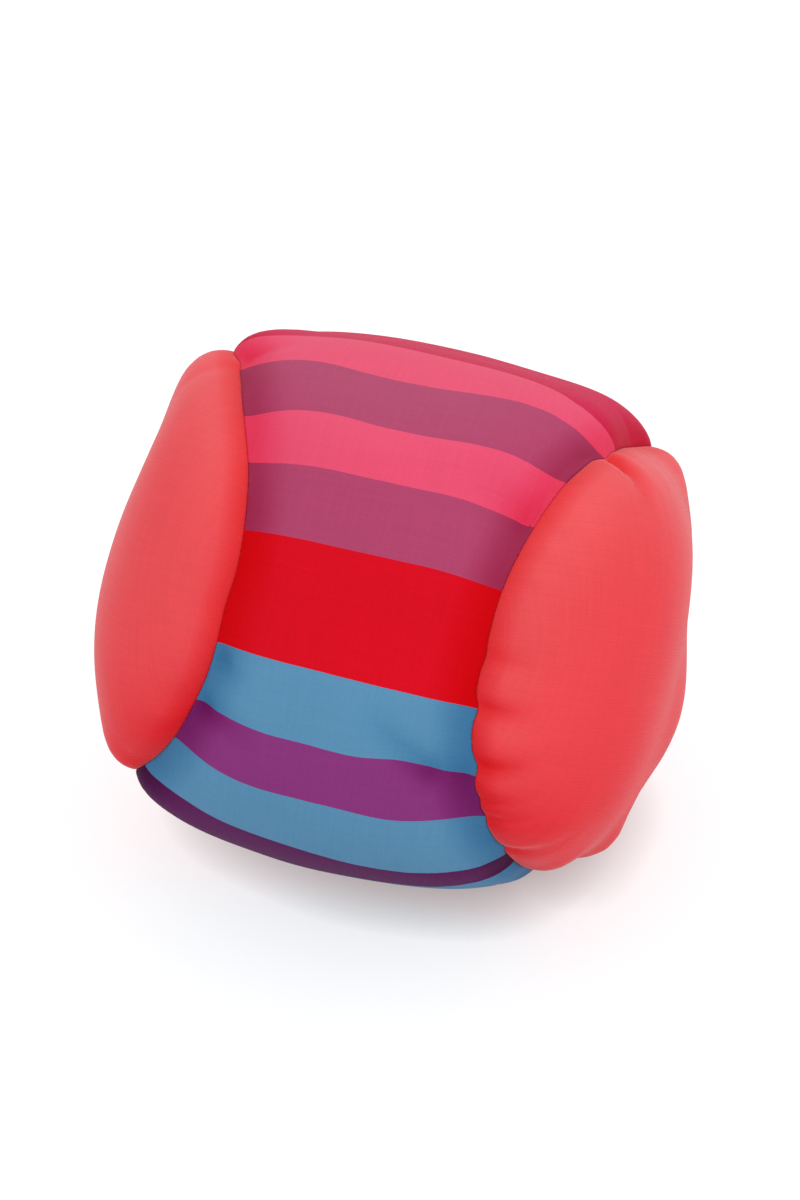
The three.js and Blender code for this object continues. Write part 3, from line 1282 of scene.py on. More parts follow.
def tube(
    path: np.ndarray, radius: float, sides: int, closed: bool
) -> tuple[np.ndarray, list[list[int]], np.ndarray]:
    """Round thread along a path.

    Args:
        path: Points of the middle line.
        radius: Radius of the thread.
        sides: Facets round the thread.
        closed: Whether the path comes back to its start.

    Returns:
        Points, faces, and for each face's corner the place round and along the thread.
    """
    ahead = np.roll(path, -1, axis=0) - np.roll(path, 1, axis=0)
    if not closed:
        ahead[0] = path[1] - path[0]
        ahead[-1] = path[-1] - path[-2]
    ahead = unit(ahead)
    out = unit(path - path.mean(axis=0))
    aside = unit(np.cross(ahead, out))
    up = np.cross(aside, ahead)
    angle = 2 * math.pi * np.arange(sides) / sides
    around = aside[:, None] * np.cos(angle)[:, None] + up[:, None] * np.sin(angle)[:, None]
    points = (path[:, None] + radius * around).reshape(-1, 3)
    steps = np.linalg.norm(np.diff(path, axis=0, append=path[:1]), axis=1)
    lengths = np.concatenate(((0.0,), np.cumsum(steps)))
    rows = len(path) if closed else len(path) - 1
    round_step = 2 * math.pi * radius / sides
    faces = []
    places = []
    for row in range(rows):
        following = (row + 1) % len(path)
        for side in range(sides):
            beside = (side + 1) % sides
            corners = ((row, side), (following, side), (following, beside), (row, beside))
            faces.append([ring * sides + number for ring, number in corners])
            left, right = side * round_step, (side + 1) * round_step
            low, high = lengths[row], lengths[row + 1]
            places += [(left, low), (left, high), (right, high), (right, low)]
    if not closed:
        faces.append(list(range(sides)))
        faces.append([(len(path) - 1) * sides + side for side in reversed(range(sides))])
        places += [(0.0, 0.0)] * sides
        places += [(0.0, lengths[-2])] * sides
    return points, faces, np.array(places)


@dataclass
class SeamThreads:
    """Machine sewing of the seam and the hand sewing that closes it.

    A machine stitch has shares of its length, and how far it is drawn into the fold at each of them.
    A ladder stitch has rows of its share, its reach into the fold and how far it sinks there.
    """

    net: CoverNet
    track: SeamTrack
    thread: float = 0.4 * MM
    sides: int = 6
    stitch: float = STITCH_PITCH
    stitch_shares: tuple[float, ...] = (0.06, 0.14, 0.3, 0.5, 0.7, 0.86, 0.94)
    stitch_drawn: tuple[float, ...] = (0.0, 0.55, 0.95, 1.0, 0.95, 0.55, 0.0)
    fold_away: float = 1.15 * MM
    fold_depth: float = 0.95 * MM
    tooth_depth: float = 0.55 * MM
    closing_length: float = 50 * MM
    closing_stitch: float = 3.2 * MM
    ladder: tuple[tuple[float, float, float], ...] = (
        (0.04, 0.35, 0.0),
        (0.2, 0.9, 0.8),
        (0.5, 1.0, 1.0),
        (0.8, 0.9, 0.8),
        (0.96, 0.35, 0.0),
    )
    rung_proud: float = 0.1 * MM
    knot_radius: float = 0.45 * MM
    knot_turns: float = 3.0
    knot_points: int = 12
    knot_spread: float = 0.2 * MM
    knot_depths: tuple[float, float] = (0.1 * MM, -0.25 * MM)
    end_gap: float = 1.0 * MM

    def _machine_path(self, panel: Panel) -> np.ndarray:
        """One machine thread: along the fold, with a tooth to the seam at each stitch.

        Args:
            panel: Panel in whose fold it runs.

        Returns:
            Points of its middle line.
        """
        start = self.closing_length + self.end_gap / 2
        length = self.net.seam_length - self.end_gap / 2 - start
        count = round(length / self.stitch)
        shares = np.array(self.stitch_shares)
        place = (start + (np.arange(count)[:, None] + shares) * length / count).ravel()
        drawn = np.tile(self.stitch_drawn, count)
        away = panel.value * self.fold_away * drawn
        depth = self.tooth_depth + (self.fold_depth - self.tooth_depth) * drawn
        return self.track.at(place, away, depth)

    def _knot(self, place: float) -> np.ndarray:
        """Small wound knot on the seam.

        Args:
            place: Distance along the seam.

        Returns:
            Points of its middle line.
        """
        count = int(self.knot_points * self.knot_turns)
        angle = 2 * math.pi * self.knot_turns * np.arange(count) / count
        creep = np.linspace(-self.knot_spread, self.knot_spread, count)
        along = place + self.knot_radius * np.cos(angle) + creep
        away = self.knot_radius * np.sin(angle)
        return self.track.at(along, away, np.linspace(*self.knot_depths, count))

    def _closing_path(self) -> np.ndarray:
        """The hand sewing: a ladder stitch from fold to fold, with a knot at each end.

        Returns:
            Points of its middle line.
        """
        start = self.end_gap / 2 + 2 * self.knot_radius
        length = self.closing_length - self.end_gap - 4 * self.knot_radius
        count = round(length / self.closing_stitch)
        share, reach, sink = np.array(self.ladder).T
        number = np.arange(count)[:, None]
        side = 1 - 2 * (number % 2)
        place = (start + (number + share) * (length / count)).ravel()
        away = (side * reach * self.fold_away).ravel()
        depth = np.tile(sink * self.fold_depth - (1 - sink) * self.rung_proud, count)
        rungs = self.track.at(place, away, depth)
        first = self._knot(self.end_gap / 2 + self.knot_radius)
        last = self._knot(self.closing_length - self.end_gap / 2 - self.knot_radius)
        return np.concatenate((first, rungs, last[::-1]))

    def build(self) -> dict[str, bpy.types.Object]:
        """Builds the three threads.

        Returns:
            The threads by the CAD node that each one stands for.
        """
        paths = {
            "seam_needle_thread": self._machine_path(Panel.STRIPED),
            "seam_bobbin_thread": self._machine_path(Panel.PLAIN),
            "closing_thread": self._closing_path(),
        }
        made = {}
        for node, path in paths.items():
            points, faces, places = tube(path, self.thread / 2, self.sides, closed=False)
            made[node] = new_piece(node.replace("thread", "sewing"), points, faces, {CLOTH_MAP: places})
        return made


@dataclass
class InnerBag:
    """The liner bag and the granules in it, each one layer further in than the cover."""

    net: CoverNet
    points: np.ndarray
    track: SeamTrack
    liner_cloth: float = 0.3 * MM
    liner_depth: float = 0.95 * MM
    liner_depth_at_seam: float = 2.7 * MM
    fill_depth: float = 1.6 * MM
    fill_depth_at_seam: float = 3.5 * MM
    floor_share: float = 0.8
    allowance_end: float = 8.6 * MM
    stepped_up: float = 12.6 * MM
    overlock_depth: float = 2.6 * MM
    overlock_radius: float = 0.16 * MM
    overlock_sides: int = 5
    overlock_wrap: float = 0.2 * MM
    overlock_pitch: float = 1.6 * MM
    wrap_points: int = 8
    grain: float = 3.4 * MM
    grain_height: float = 0.9 * MM
    fill: float = 0.85

    def _layer(self, depth_at_seam: float, depth: float) -> np.ndarray:
        """The net's points below the cover, deeper under the seam's allowances.

        Args:
            depth_at_seam: Depth under the allowances.
            depth: Depth elsewhere.

        Returns:
            Points in the floor's frame, clear of the floor.
        """
        share = smooth_step(self.allowance_end, self.stepped_up, self.net.away)
        depths = depth_at_seam + (depth - depth_at_seam) * share
        out = self.net.directions @ self.net.form.attitude.T
        points = self.points - out * depths[:, None]
        points[:, 2] = np.maximum(points[:, 2], depths * self.floor_share)
        return points

    def build_liner(self, panel: Panel, name: str, flat_cut: FlatCut) -> bpy.types.Object:
        """Builds one liner panel.

        Args:
            panel: Cover panel under which it lies.
            name: Name of the piece.
            flat_cut: How the panel lies flat.

        Returns:
            The liner panel's object.
        """
        net = self.net
        members = net.members(panel)
        triangles = net.triangles_among(panel, members)
        places = flat_cut.place(net.turned_back(panel))[members]
        points = self._layer(self.liner_depth_at_seam, self.liner_depth)[members]
        piece = new_piece(name, points, triangles.tolist(), {CLOTH_MAP: places})
        thicken(piece, self.liner_cloth)
        return piece

    def build_overlock(self, name: str) -> bpy.types.Object:
        """Builds the overlocked edge of the liner as one thread wound round under the seam.

        Args:
            name: Name of the piece.

        Returns:
            The thread's object.
        """
        turns = round(self.net.seam_length / self.overlock_pitch)
        count = turns * self.wrap_points
        angle = 2 * math.pi * np.arange(count) / self.wrap_points
        place = self.net.seam_length * np.arange(count) / count
        away = self.overlock_wrap * np.cos(angle)
        depth = self.overlock_depth + self.overlock_wrap * np.sin(angle)
        path = self.track.at(place, away, depth)
        points, faces, places = tube(path, self.overlock_radius, self.overlock_sides, closed=True)
        return new_piece(name, points, faces, {CLOTH_MAP: places})

    def build_filling(self, name: str) -> bpy.types.Object:
        """Builds the granules as one body with a grainy face.

        Args:
            name: Name of the piece.

        Returns:
            The body's object.
        """
        points = self._layer(self.fill_depth_at_seam, self.fill_depth)
        piece = new_piece(name, points, self.net.all_triangles.tolist())
        round_once(piece)
        mesh = piece.data
        places = vertex_rows(mesh, "co")
        near = np.array([noise.voronoi(spot)[0][0] for spot in (places / self.grain).tolist()])
        sink = self.grain_height * np.clip(near, 0.0, 1.0) ** 2
        places -= vertex_rows(mesh, "normal") * sink[:, None]
        mesh.vertices.foreach_set("co", places.ravel())
        mesh.update()
        return piece


class ColourMix(IntEnum):
    """Sockets of a Mix node that mixes two colours."""

    SHARE = 0
    FIRST = 6
    SECOND = 7
    RESULT = 2


class ShaderSketch:
    """Adds and joins the nodes of one shader tree."""

    def __init__(self, tree: bpy.types.NodeTree) -> None:
        """Starts on an empty tree."""
        self.tree = tree
        tree.nodes.clear()

    def put(self, socket: bpy.types.NodeSocket, value: object) -> None:
        """Fills a node's socket.

        Args:
            socket: Socket to fill.
            value: Output of another node that is linked to it, or a plain value.
        """
        if isinstance(value, bpy.types.NodeSocket):
            self.tree.links.new(value, socket)
        else:
            socket.default_value = value

    def node(
        self, kind: str, inputs: dict[str | int, object] | None = None, **settings: object
    ) -> bpy.types.Node:
        """Adds a node.

        Args:
            kind: Node type without its ShaderNode prefix.
            inputs: Values or outputs for its sockets, by name or number.
            settings: Values for its own properties.

        Returns:
            The node.
        """
        made = self.tree.nodes.new("ShaderNode" + kind)
        for key, value in settings.items():
            setattr(made, key, value)
        for key, value in (inputs or {}).items():
            self.put(made.inputs[key], value)
        return made

    def math(self, operation: str, *values: object) -> bpy.types.NodeSocket:
        """Adds a Math node and returns its output."""
        return self.node("Math", dict(enumerate(values)), operation=operation).outputs[0]

    def shaded(self, colour: object, shade: object) -> bpy.types.NodeSocket:
        """Multiplies a colour by a shade and returns the result."""
        return self.node("VectorMath", {0: colour, "Scale": shade}, operation="SCALE").outputs[0]

    def group(self, tree: bpy.types.NodeTree, inputs: dict[str, object]) -> bpy.types.NodeOutputs:
        """Places a shared node group with its own values and returns its outputs."""
        return self.node("Group", inputs, node_tree=tree).outputs

    def principled(self, inputs: dict[str, object]) -> None:
        """Adds the surface's shader with its values and joins it to the material's output."""
        surface = self.node("BsdfPrincipled", inputs)
        self.node("OutputMaterial", {"Surface": surface.outputs[0]})


def new_material(name: str) -> tuple[bpy.types.Material, ShaderSketch]:
    """Starts a material.

    Args:
        name: Name of the material.

    Returns:
        The material and the sketch of its empty tree.
    """
    made = bpy.data.materials.new(name)
    made.use_nodes = True
    return made, ShaderSketch(made.node_tree)


def new_group(
    name: str, inputs: dict[str, str], outputs: dict[str, str]
) -> tuple[ShaderSketch, bpy.types.NodeOutputs, bpy.types.NodeInputs]:
    """Starts a shader node group.

    Args:
        name: Name of the group.
        inputs: Socket types of its inputs, by name.
        outputs: Socket types of its outputs, by name.

    Returns:
        The sketch of the group's tree, the outputs of its input node and the inputs of its output node.
    """
    tree = bpy.data.node_groups.new(name, "ShaderNodeTree")
    sketch = ShaderSketch(tree)
    for kinds, way in ((inputs, "INPUT"), (outputs, "OUTPUT")):
        for socket, kind in kinds.items():
            tree.interface.new_socket(socket, in_out=way, socket_type="NodeSocket" + kind)
    given = tree.nodes.new("NodeGroupInput")
    result = tree.nodes.new("NodeGroupOutput")
    return sketch, given.outputs, result.inputs


@dataclass
class SharedEffects:
    """Node groups that more than one finish uses.

    A pair of numbers for a shade is how much the height adds to it, and the shade at no height.
    """

    slub_stretch: float = 0.05
    slub_scale: float = 0.9
    slub_shade: float = 0.25
    weft_shift: float = 7.0
    thread_roundness: float = 0.8
    over_swing: float = 0.35
    weave_shade: tuple[float, float] = (0.06, 0.955)
    cloud_detail: float = 3.0
    strands: int = 6
    twist_shade: tuple[float, float] = (0.35, 0.7)
    weave: bpy.types.NodeTree = field(init=False)
    unevenness: bpy.types.NodeTree = field(init=False)
    painted_highlight: bpy.types.NodeTree = field(init=False)
    painted_shade: bpy.types.NodeTree = field(init=False)
    twist: bpy.types.NodeTree = field(init=False)

    def __post_init__(self) -> None:
        """Builds each group once."""
        self.weave = self._plain_weave()
        self.unevenness = self._cloth_unevenness()
        self.painted_highlight = self._painted_top_highlight()
        self.painted_shade = self._painted_seam_shading()
        self.twist = self._thread_twist()

    def _slubs(self, sketch: ShaderSketch, place: dict[str, object]) -> bpy.types.NodeSocket:
        """Thick and thin stretches of the threads that run one way.

        Args:
            sketch: Tree of the group.
            place: Place on the cloth, which changes slowly along those threads.

        Returns:
            Output with the thickness, 0.5 on average.
        """
        streaks = sketch.node("CombineXYZ", place).outputs[0]
        uneven = {"Vector": streaks, "Scale": self.slub_scale, "Detail": 1.0}
        return sketch.node("TexNoise", uneven).outputs[0]

    def _plain_weave(self) -> bpy.types.NodeTree:
        """Threads that go over and under each other by turns.

        Returns:
            The group's tree.
        """
        inputs = {"Place": "Vector", "Pitch": "Float", "Slub": "Float"}
        sketch, given, result = new_group("plain weave", inputs, {"Height": "Float", "Shade": "Float"})
        parts = sketch.node("SeparateXYZ", {"Vector": given["Place"]})
        across = sketch.math("DIVIDE", parts.outputs["X"], given["Pitch"])
        along = sketch.math("DIVIDE", parts.outputs["Y"], given["Pitch"])
        slow_across = sketch.math("MULTIPLY", across, self.slub_stretch)
        slow_along = sketch.math("MULTIPLY", along, self.slub_stretch)
        warp_slub = self._slubs(sketch, {"X": across, "Y": slow_along})
        weft_slub = self._slubs(sketch, {"X": slow_across, "Y": along, "Z": self.weft_shift})
        waves = [sketch.math("COSINE", sketch.math("MULTIPLY", way, math.pi)) for way in (across, along)]
        over = sketch.math("MULTIPLY", *waves)
        threads = []
        for wave, swing in zip(waves, (self.over_swing, -self.over_swing)):
            rounded = sketch.math("POWER", sketch.math("ABSOLUTE", wave), self.thread_roundness)
            rise = sketch.math("MULTIPLY_ADD", over, swing, 1 - self.over_swing)
            threads.append(sketch.math("MULTIPLY", rounded, rise))
        height = sketch.math("MAXIMUM", *threads)
        slub = sketch.math("SUBTRACT", sketch.math("ADD", warp_slub, weft_slub), 1.0)
        slub = sketch.math("MULTIPLY", slub, given["Slub"])
        sketch.put(result["Height"], sketch.math("ADD", height, slub))
        shade = sketch.math("MULTIPLY_ADD", height, *self.weave_shade)
        slub_tone = sketch.math("MULTIPLY", slub, self.slub_shade)
        sketch.put(result["Shade"], sketch.math("ADD", shade, slub_tone))
        return sketch.tree

    def _cloth_unevenness(self) -> bpy.types.NodeTree:
        """Cloudy variation of dye and nap over the cloth.

        Returns:
            The group's tree.
        """
        inputs = {"Place": "Vector", "Size": "Float", "Amount": "Float"}
        outputs = {"Shade": "Float", "Cloud": "Float"}
        sketch, given, result = new_group("cloth unevenness", inputs, outputs)
        scaled = sketch.shaded(given["Place"], sketch.math("DIVIDE", 1.0, given["Size"]))
        uneven = {"Vector": scaled, "Scale": 1.0, "Detail": self.cloud_detail}
        cloud = sketch.node("TexNoise", uneven).outputs[0]
        centred = sketch.math("SUBTRACT", cloud, 0.5)
        sketch.put(result["Shade"], sketch.math("MULTIPLY_ADD", centred, given["Amount"], 1.0))
        sketch.put(result["Cloud"], cloud)
        return sketch.tree

    @staticmethod
    def _painted_top_highlight() -> bpy.types.NodeTree:
        """Painted highlight: the dye mixed towards white on the faces that look up to the light.

        Returns:
            The group's tree.
        """
        inputs = {"Dye": "Color", "Amount": "Float", "From": "Float"}
        sketch, given, result = new_group("painted top highlight", inputs, {"Colour": "Color"})
        facing = sketch.node("SeparateXYZ", {"Vector": sketch.node("NewGeometry").outputs["Normal"]})
        upward = sketch.node("MapRange", {"Value": facing.outputs["Z"], "From Min": given["From"]})
        share = sketch.math("MULTIPLY", upward.outputs[0], given["Amount"])
        colours = {ColourMix.SHARE: share, ColourMix.FIRST: given["Dye"], ColourMix.SECOND: WHITE}
        highlighted = sketch.node("Mix", colours, data_type="RGBA")
        sketch.put(result["Colour"], highlighted.outputs[ColourMix.RESULT])
        return sketch.tree

    @staticmethod
    def _painted_seam_shading() -> bpy.types.NodeTree:
        """Painted shade: the dye deepened and darkened by the seam and in the folds, where shade falls.

        Returns:
            The group's tree.
        """
        inputs = {"Dye": "Color", "Seam Shade": "Float", "Amount": "Float"}
        sketch, given, result = new_group("painted seam shade", inputs, {"Colour": "Color"})
        depth = sketch.math("MULTIPLY_ADD", given["Seam Shade"], given["Amount"], 1.0)
        deep = sketch.node("Gamma", {"Color": given["Dye"], "Gamma": depth})
        sketch.put(result["Colour"], deep.outputs[0])
        return sketch.tree

    def _thread_twist(self) -> bpy.types.NodeTree:
        """Strands that wind round a thread.

        Returns:
            The group's tree.
        """
        inputs = {"Place": "Vector", "Lay": "Float", "Girth": "Float"}
        sketch, given, result = new_group("thread twist", inputs, {"Height": "Float", "Shade": "Float"})
        parts = sketch.node("SeparateXYZ", {"Vector": given["Place"]})
        around = sketch.math("DIVIDE", parts.outputs["X"], given["Girth"])
        along = sketch.math("DIVIDE", parts.outputs["Y"], given["Lay"])
        turns = sketch.math("MULTIPLY", sketch.math("ADD", around, along), self.strands * math.pi)
        strand = sketch.math("ABSOLUTE", sketch.math("SINE", turns))
        sketch.put(result["Height"], strand)
        sketch.put(result["Shade"], sketch.math("MULTIPLY_ADD", strand, *self.twist_shade))
        return sketch.tree


class Dye(Enum):
    """Colours of the cloths and threads, as linear light."""

    CORAL = (0.85, 0.032, 0.045)
    RED = (0.72, 0.004, 0.015)
    PINK = (0.83, 0.085, 0.175)
    MAUVE = (0.455, 0.062, 0.152)
    STEEL_BLUE = (0.112, 0.292, 0.475)
    PURPLE = (0.275, 0.039, 0.212)
    CRIMSON = (0.64, 0.012, 0.078)
    # Painted shade: the purple darkened for the lowest stripe, which lies in the shade under the ball.
    PURPLE_IN_PAINTED_SHADE = (0.12, 0.008, 0.10)
    SALMON = (0.83, 0.12, 0.114)
    DARK_RED = (0.45, 0.02, 0.035)
    NATURAL = (0.86, 0.84, 0.78)


@dataclass(frozen=True)
class StripePrint:
    """Stripes of the printed cloth from the upper lobe's end to the lower one's, straight across."""

    start: float = 133 * MM
    stripes: tuple[tuple[Dye, float], ...] = (
        (Dye.RED, 22.5 * MM),
        (Dye.SALMON, 10.0 * MM),
        (Dye.RED, 11.0 * MM),
        (Dye.CRIMSON, 37.5 * MM),
        (Dye.PINK, 13.0 * MM),
        (Dye.MAUVE, 10.5 * MM),
        (Dye.PINK, 8.6 * MM),
        (Dye.MAUVE, 10.7 * MM),
        (Dye.RED, 18.1 * MM),
        (Dye.STEEL_BLUE, 11.0 * MM),
        (Dye.PURPLE, 9.6 * MM),
        (Dye.STEEL_BLUE, 13.9 * MM),
        # Purple in painted shade for the stripe under the ball.
        (Dye.PURPLE_IN_PAINTED_SHADE, 14.0 * MM),
        (Dye.STEEL_BLUE, 12.6 * MM),
        (Dye.CRIMSON, 15.8 * MM),
        (Dye.SALMON, 10.0 * MM),
        (Dye.RED, 12.0 * MM),
        (Dye.SALMON, 25.2 * MM),
    )

    def ramp(self, sketch: ShaderSketch, along: bpy.types.NodeSocket) -> bpy.types.NodeSocket:
        """Adds the print's colour nodes.

        Args:
            sketch: Tree of the finish.
            along: Distance along the cloth from the middle of the waist.

        Returns:
            Colour output.
        """
        total = sum(width for _, width in self.stripes)
        span = {"Value": along, "From Min": self.start, "From Max": self.start - total}
        share = sketch.node("MapRange", span)
        ramp = sketch.node("ValToRGB", {"Fac": share.outputs[0]})
        elements = ramp.color_ramp.elements
        ramp.color_ramp.interpolation = "CONSTANT"
        place = 0.0
        for number, (dye, width) in enumerate(self.stripes):
            element = elements[number] if number < 1 else elements.new(place / total)
            element.position = place / total
            element.color = (*dye.value, 1.0)
            place += width
        elements.remove(elements[len(elements) - 1])
        return ramp.outputs[0]


@dataclass(frozen=True)
class ClothFinish:
    """Woven cloth: weave, uneven dye, painted top highlight and seam shade, matt face, faint sheen."""

    name: str
    dye: Dye
    pitch: float = 0.42 * MM
    weave_height: float = 0.035 * MM
    slub: float = 0.35
    cloud_size: float = 14 * MM
    cloud_amount: float = 0.10
    roughness: float = 0.82
    roughness_spread: float = 0.1
    specular: float = 0.05
    # Painted highlight: how far the dye is painted paler on the upward faces, and the facing where it
    # starts.
    painted_highlight: float = 0.02
    painted_highlight_from: float = 0.8
    painted_shade: float = 0.0
    patch_level: float = 0.5
    sheen: float = 0.10
    sheen_roughness: float = 0.30

    def material(self, effects: SharedEffects, print_: StripePrint | None = None) -> bpy.types.Material:
        """Makes the cloth's material.

        Args:
            effects: Shared node groups.
            print_: Stripes that are printed on it.

        Returns:
            The material.
        """
        made, sketch = new_material(self.name)
        place = sketch.node("UVMap", uv_map=CLOTH_MAP).outputs[0]
        weave = sketch.group(effects.weave, {"Place": place, "Pitch": self.pitch, "Slub": self.slub})
        clouding = {"Place": place, "Size": self.cloud_size, "Amount": self.cloud_amount}
        clouds = sketch.group(effects.unevenness, clouding)
        colour: object = (*self.dye.value, 1.0)
        if print_ is not None:
            along = sketch.node("SeparateXYZ", {"Vector": place}).outputs["Y"]
            colour = print_.ramp(sketch, along)
        # Painted highlight on the upward faces.
        painted_highlight = {"Dye": colour, "Amount": self.painted_highlight, "From": self.painted_highlight_from}
        highlighted = sketch.group(effects.painted_highlight, painted_highlight)["Colour"]
        # Painted shade: the dye deepened and darkened by the seam and in the folds, patchy with the
        # clouds.
        shade_mask = sketch.node("Attribute", attribute_name=PAINTED_SHADE_MARK).outputs["Fac"]
        patches = sketch.math("ADD", clouds["Cloud"], self.patch_level)
        patchy_shade = sketch.math("MULTIPLY", shade_mask, patches)
        seam_shading = {"Dye": highlighted, "Seam Shade": patchy_shade, "Amount": self.painted_shade}
        kept = sketch.group(effects.painted_shade, seam_shading)["Colour"]
        shade = sketch.math("MULTIPLY", weave["Shade"], clouds["Shade"])
        bump = sketch.node("Bump", {"Height": weave["Height"], "Distance": self.weave_height})
        smoothest = self.roughness - self.roughness_spread / 2
        rough = sketch.math("MULTIPLY_ADD", clouds["Cloud"], self.roughness_spread, smoothest)
        surface = {
            "Base Color": sketch.shaded(kept, shade),
            "Roughness": rough,
            "Specular IOR Level": self.specular,
            "Sheen Weight": self.sheen,
            "Sheen Roughness": self.sheen_roughness,
            "Normal": bump.outputs[0],
        }
        sketch.principled(surface)
        return made


@dataclass(frozen=True)
class ThreadFinish:
    """Spun thread with visible twist."""

    name: str
    dye: Dye
    girth: float
    lay: float = 1.1 * MM
    twist_height: float = 0.05 * MM
    roughness: float = 0.7
    sheen: float = 0.2

    def material(self, effects: SharedEffects) -> bpy.types.Material:
        """Makes the thread's material from the shared twist.

        Args:
            effects: Shared node groups.

        Returns:
            The material.
        """
        made, sketch = new_material(self.name)
        place = sketch.node("UVMap", uv_map=CLOTH_MAP).outputs[0]
        twist = sketch.group(effects.twist, {"Place": place, "Lay": self.lay, "Girth": self.girth})
        bump = sketch.node("Bump", {"Height": twist["Height"], "Distance": self.twist_height})
        surface = {
            "Base Color": sketch.shaded(self.dye.value, twist["Shade"]),
            "Roughness": self.roughness,
            "Sheen Weight": self.sheen,
            "Normal": bump.outputs[0],
        }
        sketch.principled(surface)
        return made


@dataclass(frozen=True)
class GranuleFinish:
    """Milky plastic granules, each a little different in tone."""

    name: str
    grain: float
    roughness: float = 0.45
    tone_spread: float = 0.2

    def material(self) -> bpy.types.Material:
        """Makes the granules' material.

        Returns:
            The material.
        """
        made, sketch = new_material(self.name)
        place = sketch.node("TexCoord").outputs["Object"]
        cells = sketch.node("TexVoronoi", {"Vector": place, "Scale": 1 / self.grain})
        tone = sketch.node("SeparateColor", {"Color": cells.outputs["Color"]}).outputs[0]
        shade = sketch.math("MULTIPLY_ADD", tone, self.tone_spread, 1 - self.tone_spread)
        colour = sketch.shaded(Dye.NATURAL.value, shade)
        sketch.principled({"Base Color": colour, "Roughness": self.roughness})
        return made


@dataclass(frozen=True)
class Softbox:
    """A soft square lamp that looks at the ball."""

    name: str
    power: float
    size: float
    place: tuple[float, float, float]


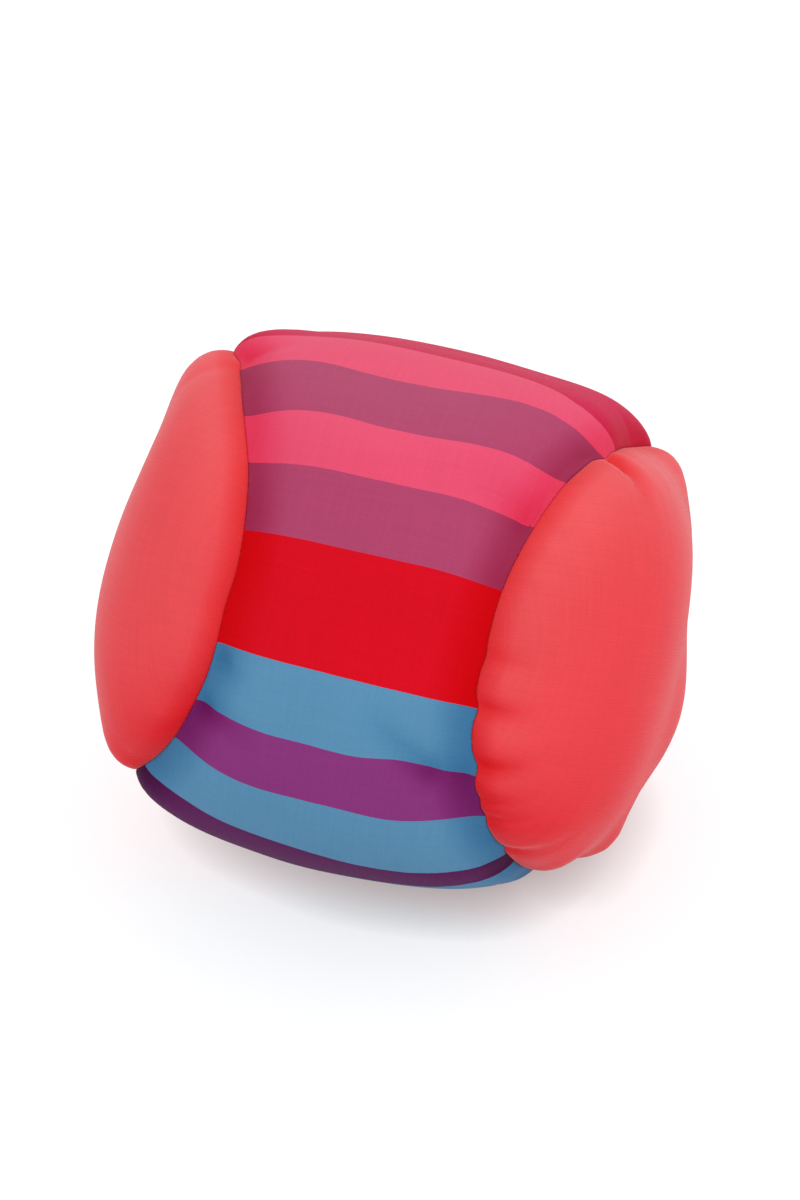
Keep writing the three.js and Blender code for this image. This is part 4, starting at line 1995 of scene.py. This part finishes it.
@dataclass(frozen=True)
class Studio:
    """Pale floor, soft light and the camera at the photograph's angle."""

    floor_size: float = 6.0
    floor_tone: float = 0.86
    seen_tone: float = 0.42
    floor_glow: float = 0.70
    # Painted contact shadow in the floor's glow: its reach and its darkest tone.
    painted_shadow_reach: float = 8.5 * MM
    painted_shadow_tone: float = 0.40
    floor_tint: tuple[float, float, float] = (0.95, 1.0, 1.03)
    ambient: float = 0.87
    lamps: tuple[Softbox, ...] = (
        Softbox("key", 1.8, 1.2, (0.15, -0.75, 1.15)),
        Softbox("fill", 2.2, 1.2, (1.2, -0.25, 0.6)),
        Softbox("top", 1.0, 1.2, (-0.3, 0.35, 1.25)),
    )
    view_from: tuple[float, float, float] = (0.196, -0.826, 0.529)
    view_distance: float = 0.75
    look_at: tuple[float, float, float] = (0.0, 0.0, 0.041)
    lens: float = 150.0

    def _floor(self) -> None:
        """Lays the floor, a little brighter to the camera so that it reads as white, its glow darkened
        near the ball as a painted contact shadow.
        """
        half = self.floor_size / 2
        corners = ((-half, -half, 0.0), (half, -half, 0.0), (half, half, 0.0), (-half, half, 0.0))
        floor = new_piece("floor", np.array(corners), [[0, 1, 2, 3]])
        made, sketch = new_material("pale floor")
        rays = sketch.node("LightPath").outputs["Is Camera Ray"]
        tone = sketch.math("MULTIPLY_ADD", rays, self.seen_tone - self.floor_tone, self.floor_tone)
        matt = sketch.node("BsdfDiffuse", {"Color": sketch.shaded(self.floor_tint, tone)})
        # Painted contact shadow: the glow darkens where the ball is near.
        near = sketch.node("AmbientOcclusion", {"Distance": self.painted_shadow_reach}).outputs["AO"]
        shadowed_glow = sketch.math("MULTIPLY_ADD", near, 1 - self.painted_shadow_tone, self.painted_shadow_tone)
        seen = sketch.math("MULTIPLY", rays, sketch.math("MULTIPLY", shadowed_glow, self.floor_glow))
        glow = sketch.node("Emission", {"Color": WHITE, "Strength": seen})
        both = sketch.node("AddShader", {0: matt.outputs[0], 1: glow.outputs[0]})
        sketch.node("OutputMaterial", {"Surface": both.outputs[0]})
        floor.data.materials.append(made)

    def _world(self) -> None:
        """Even light from all round, white where the camera sees it."""
        world = bpy.data.worlds.new("studio")
        bpy.context.scene.world = world
        world.use_nodes = True
        sketch = ShaderSketch(world.node_tree)
        rays = sketch.node("LightPath").outputs["Is Camera Ray"]
        level = sketch.math("MULTIPLY_ADD", rays, 1.0 - self.ambient, self.ambient)
        light = sketch.node("Background", {"Color": WHITE, "Strength": level})
        sketch.node("OutputWorld", {"Surface": light.outputs[0]})

    def _aimed(self, name: str, data: bpy.types.ID, place: Vector) -> bpy.types.Object:
        """Puts a lamp or the camera at a place and turns it to the ball.

        Args:
            name: Name of the object.
            data: The lamp or the camera.
            place: Where it stands.

        Returns:
            The object, linked to the scene.
        """
        holder = bpy.data.objects.new(name, data)
        holder.location = place
        holder.rotation_mode = "QUATERNION"
        holder.rotation_quaternion = (Vector(self.look_at) - place).to_track_quat("-Z", "Y")
        bpy.context.scene.collection.objects.link(holder)
        return holder

    def _hang(self, softbox: Softbox) -> None:
        """Hangs one soft lamp.

        Args:
            softbox: The lamp's values.
        """
        lamp = bpy.data.lights.new(softbox.name, "AREA")
        lamp.energy = softbox.power
        lamp.size = softbox.size
        self._aimed(softbox.name, lamp, Vector(softbox.place))

    def _camera(self) -> None:
        """Sets the camera on the photograph's line of sight."""
        camera = bpy.data.cameras.new("camera")
        camera.lens = self.lens
        back = Vector(self.view_from).normalized() * self.view_distance
        bpy.context.scene.camera = self._aimed("camera", camera, Vector(self.look_at) + back)

    def build(self) -> None:
        """Sets the whole studio."""
        bpy.context.scene.view_settings.view_transform = "Standard"
        self._floor()
        self._world()
        for softbox in self.lamps:
            self._hang(softbox)
        self._camera()


def main() -> None:
    """Builds the ball piece by piece, dresses it and sets the studio."""
    logging.basicConfig(level=logging.INFO, format="%(message)s")
    form = BallForm()
    net = CoverNet(form)
    log.info("net: %d points, seam %.0f mm", len(net.directions), net.seam_length / MM)
    shape = CoverShape(net)
    points = shape.points()
    points = SeamGather(net).relaxed(points)
    effects = SharedEffects()
    flat_cut = FlatCut(form)
    cover = (net, points, shape.painted_seam_shade())
    striped = CoverPanel(
        *cover, Panel.STRIPED, "striped_cover", "striped_panel", "striped_cloth", lay=StripeLay()
    )
    plain = CoverPanel(*cover, Panel.PLAIN, "plain_cover", "plain_panel", "plain_cloth")
    # Both cloths get painted shade by the seam and in the folds, and a painted highlight on their upward
    # faces.
    stripes = ClothFinish("striped cloth", Dye.RED, painted_shade=0.33)
    coral = ClothFinish(
        "coral cloth", Dye.CORAL, painted_highlight=0.085, painted_highlight_from=-0.3, painted_shade=0.32, sheen=0.32
    )
    striped_cloth = stripes.material(effects, StripePrint())
    plain_cloth = coral.material(effects)
    for panel, finish in ((striped, striped_cloth), (plain, plain_cloth)):
        hand_over(panel.build(flat_cut), panel.node, finish)
    track = SeamTrack(net, points)
    threads = SeamThreads(net, track)
    sewing = ThreadFinish("sewing thread", Dye.DARK_RED, math.pi * threads.thread).material(effects)
    for node, piece in threads.build().items():
        hand_over(piece, node, sewing)
    bag = InnerBag(net, points, track)
    liner_cloth = ClothFinish("liner cloth", Dye.NATURAL, pitch=0.3 * MM).material(effects)
    for side, name in ((Panel.STRIPED, "front_liner"), (Panel.PLAIN, "back_liner")):
        hand_over(bag.build_liner(side, name, flat_cut), name + "_panel", liner_cloth)
    girth = 2 * math.pi * bag.overlock_radius
    liner_thread = ThreadFinish("liner thread", Dye.NATURAL, girth).material(effects)
    overlock = bag.build_overlock("liner_overlock")
    hand_over(overlock, "liner_overlock_thread", liner_thread)
    granules = GranuleFinish("granules", bag.grain).material()
    hand_over(bag.build_filling("granules"), "granule_filling", granules)
    Studio().build()


if __name__ == "__main__":
    main()
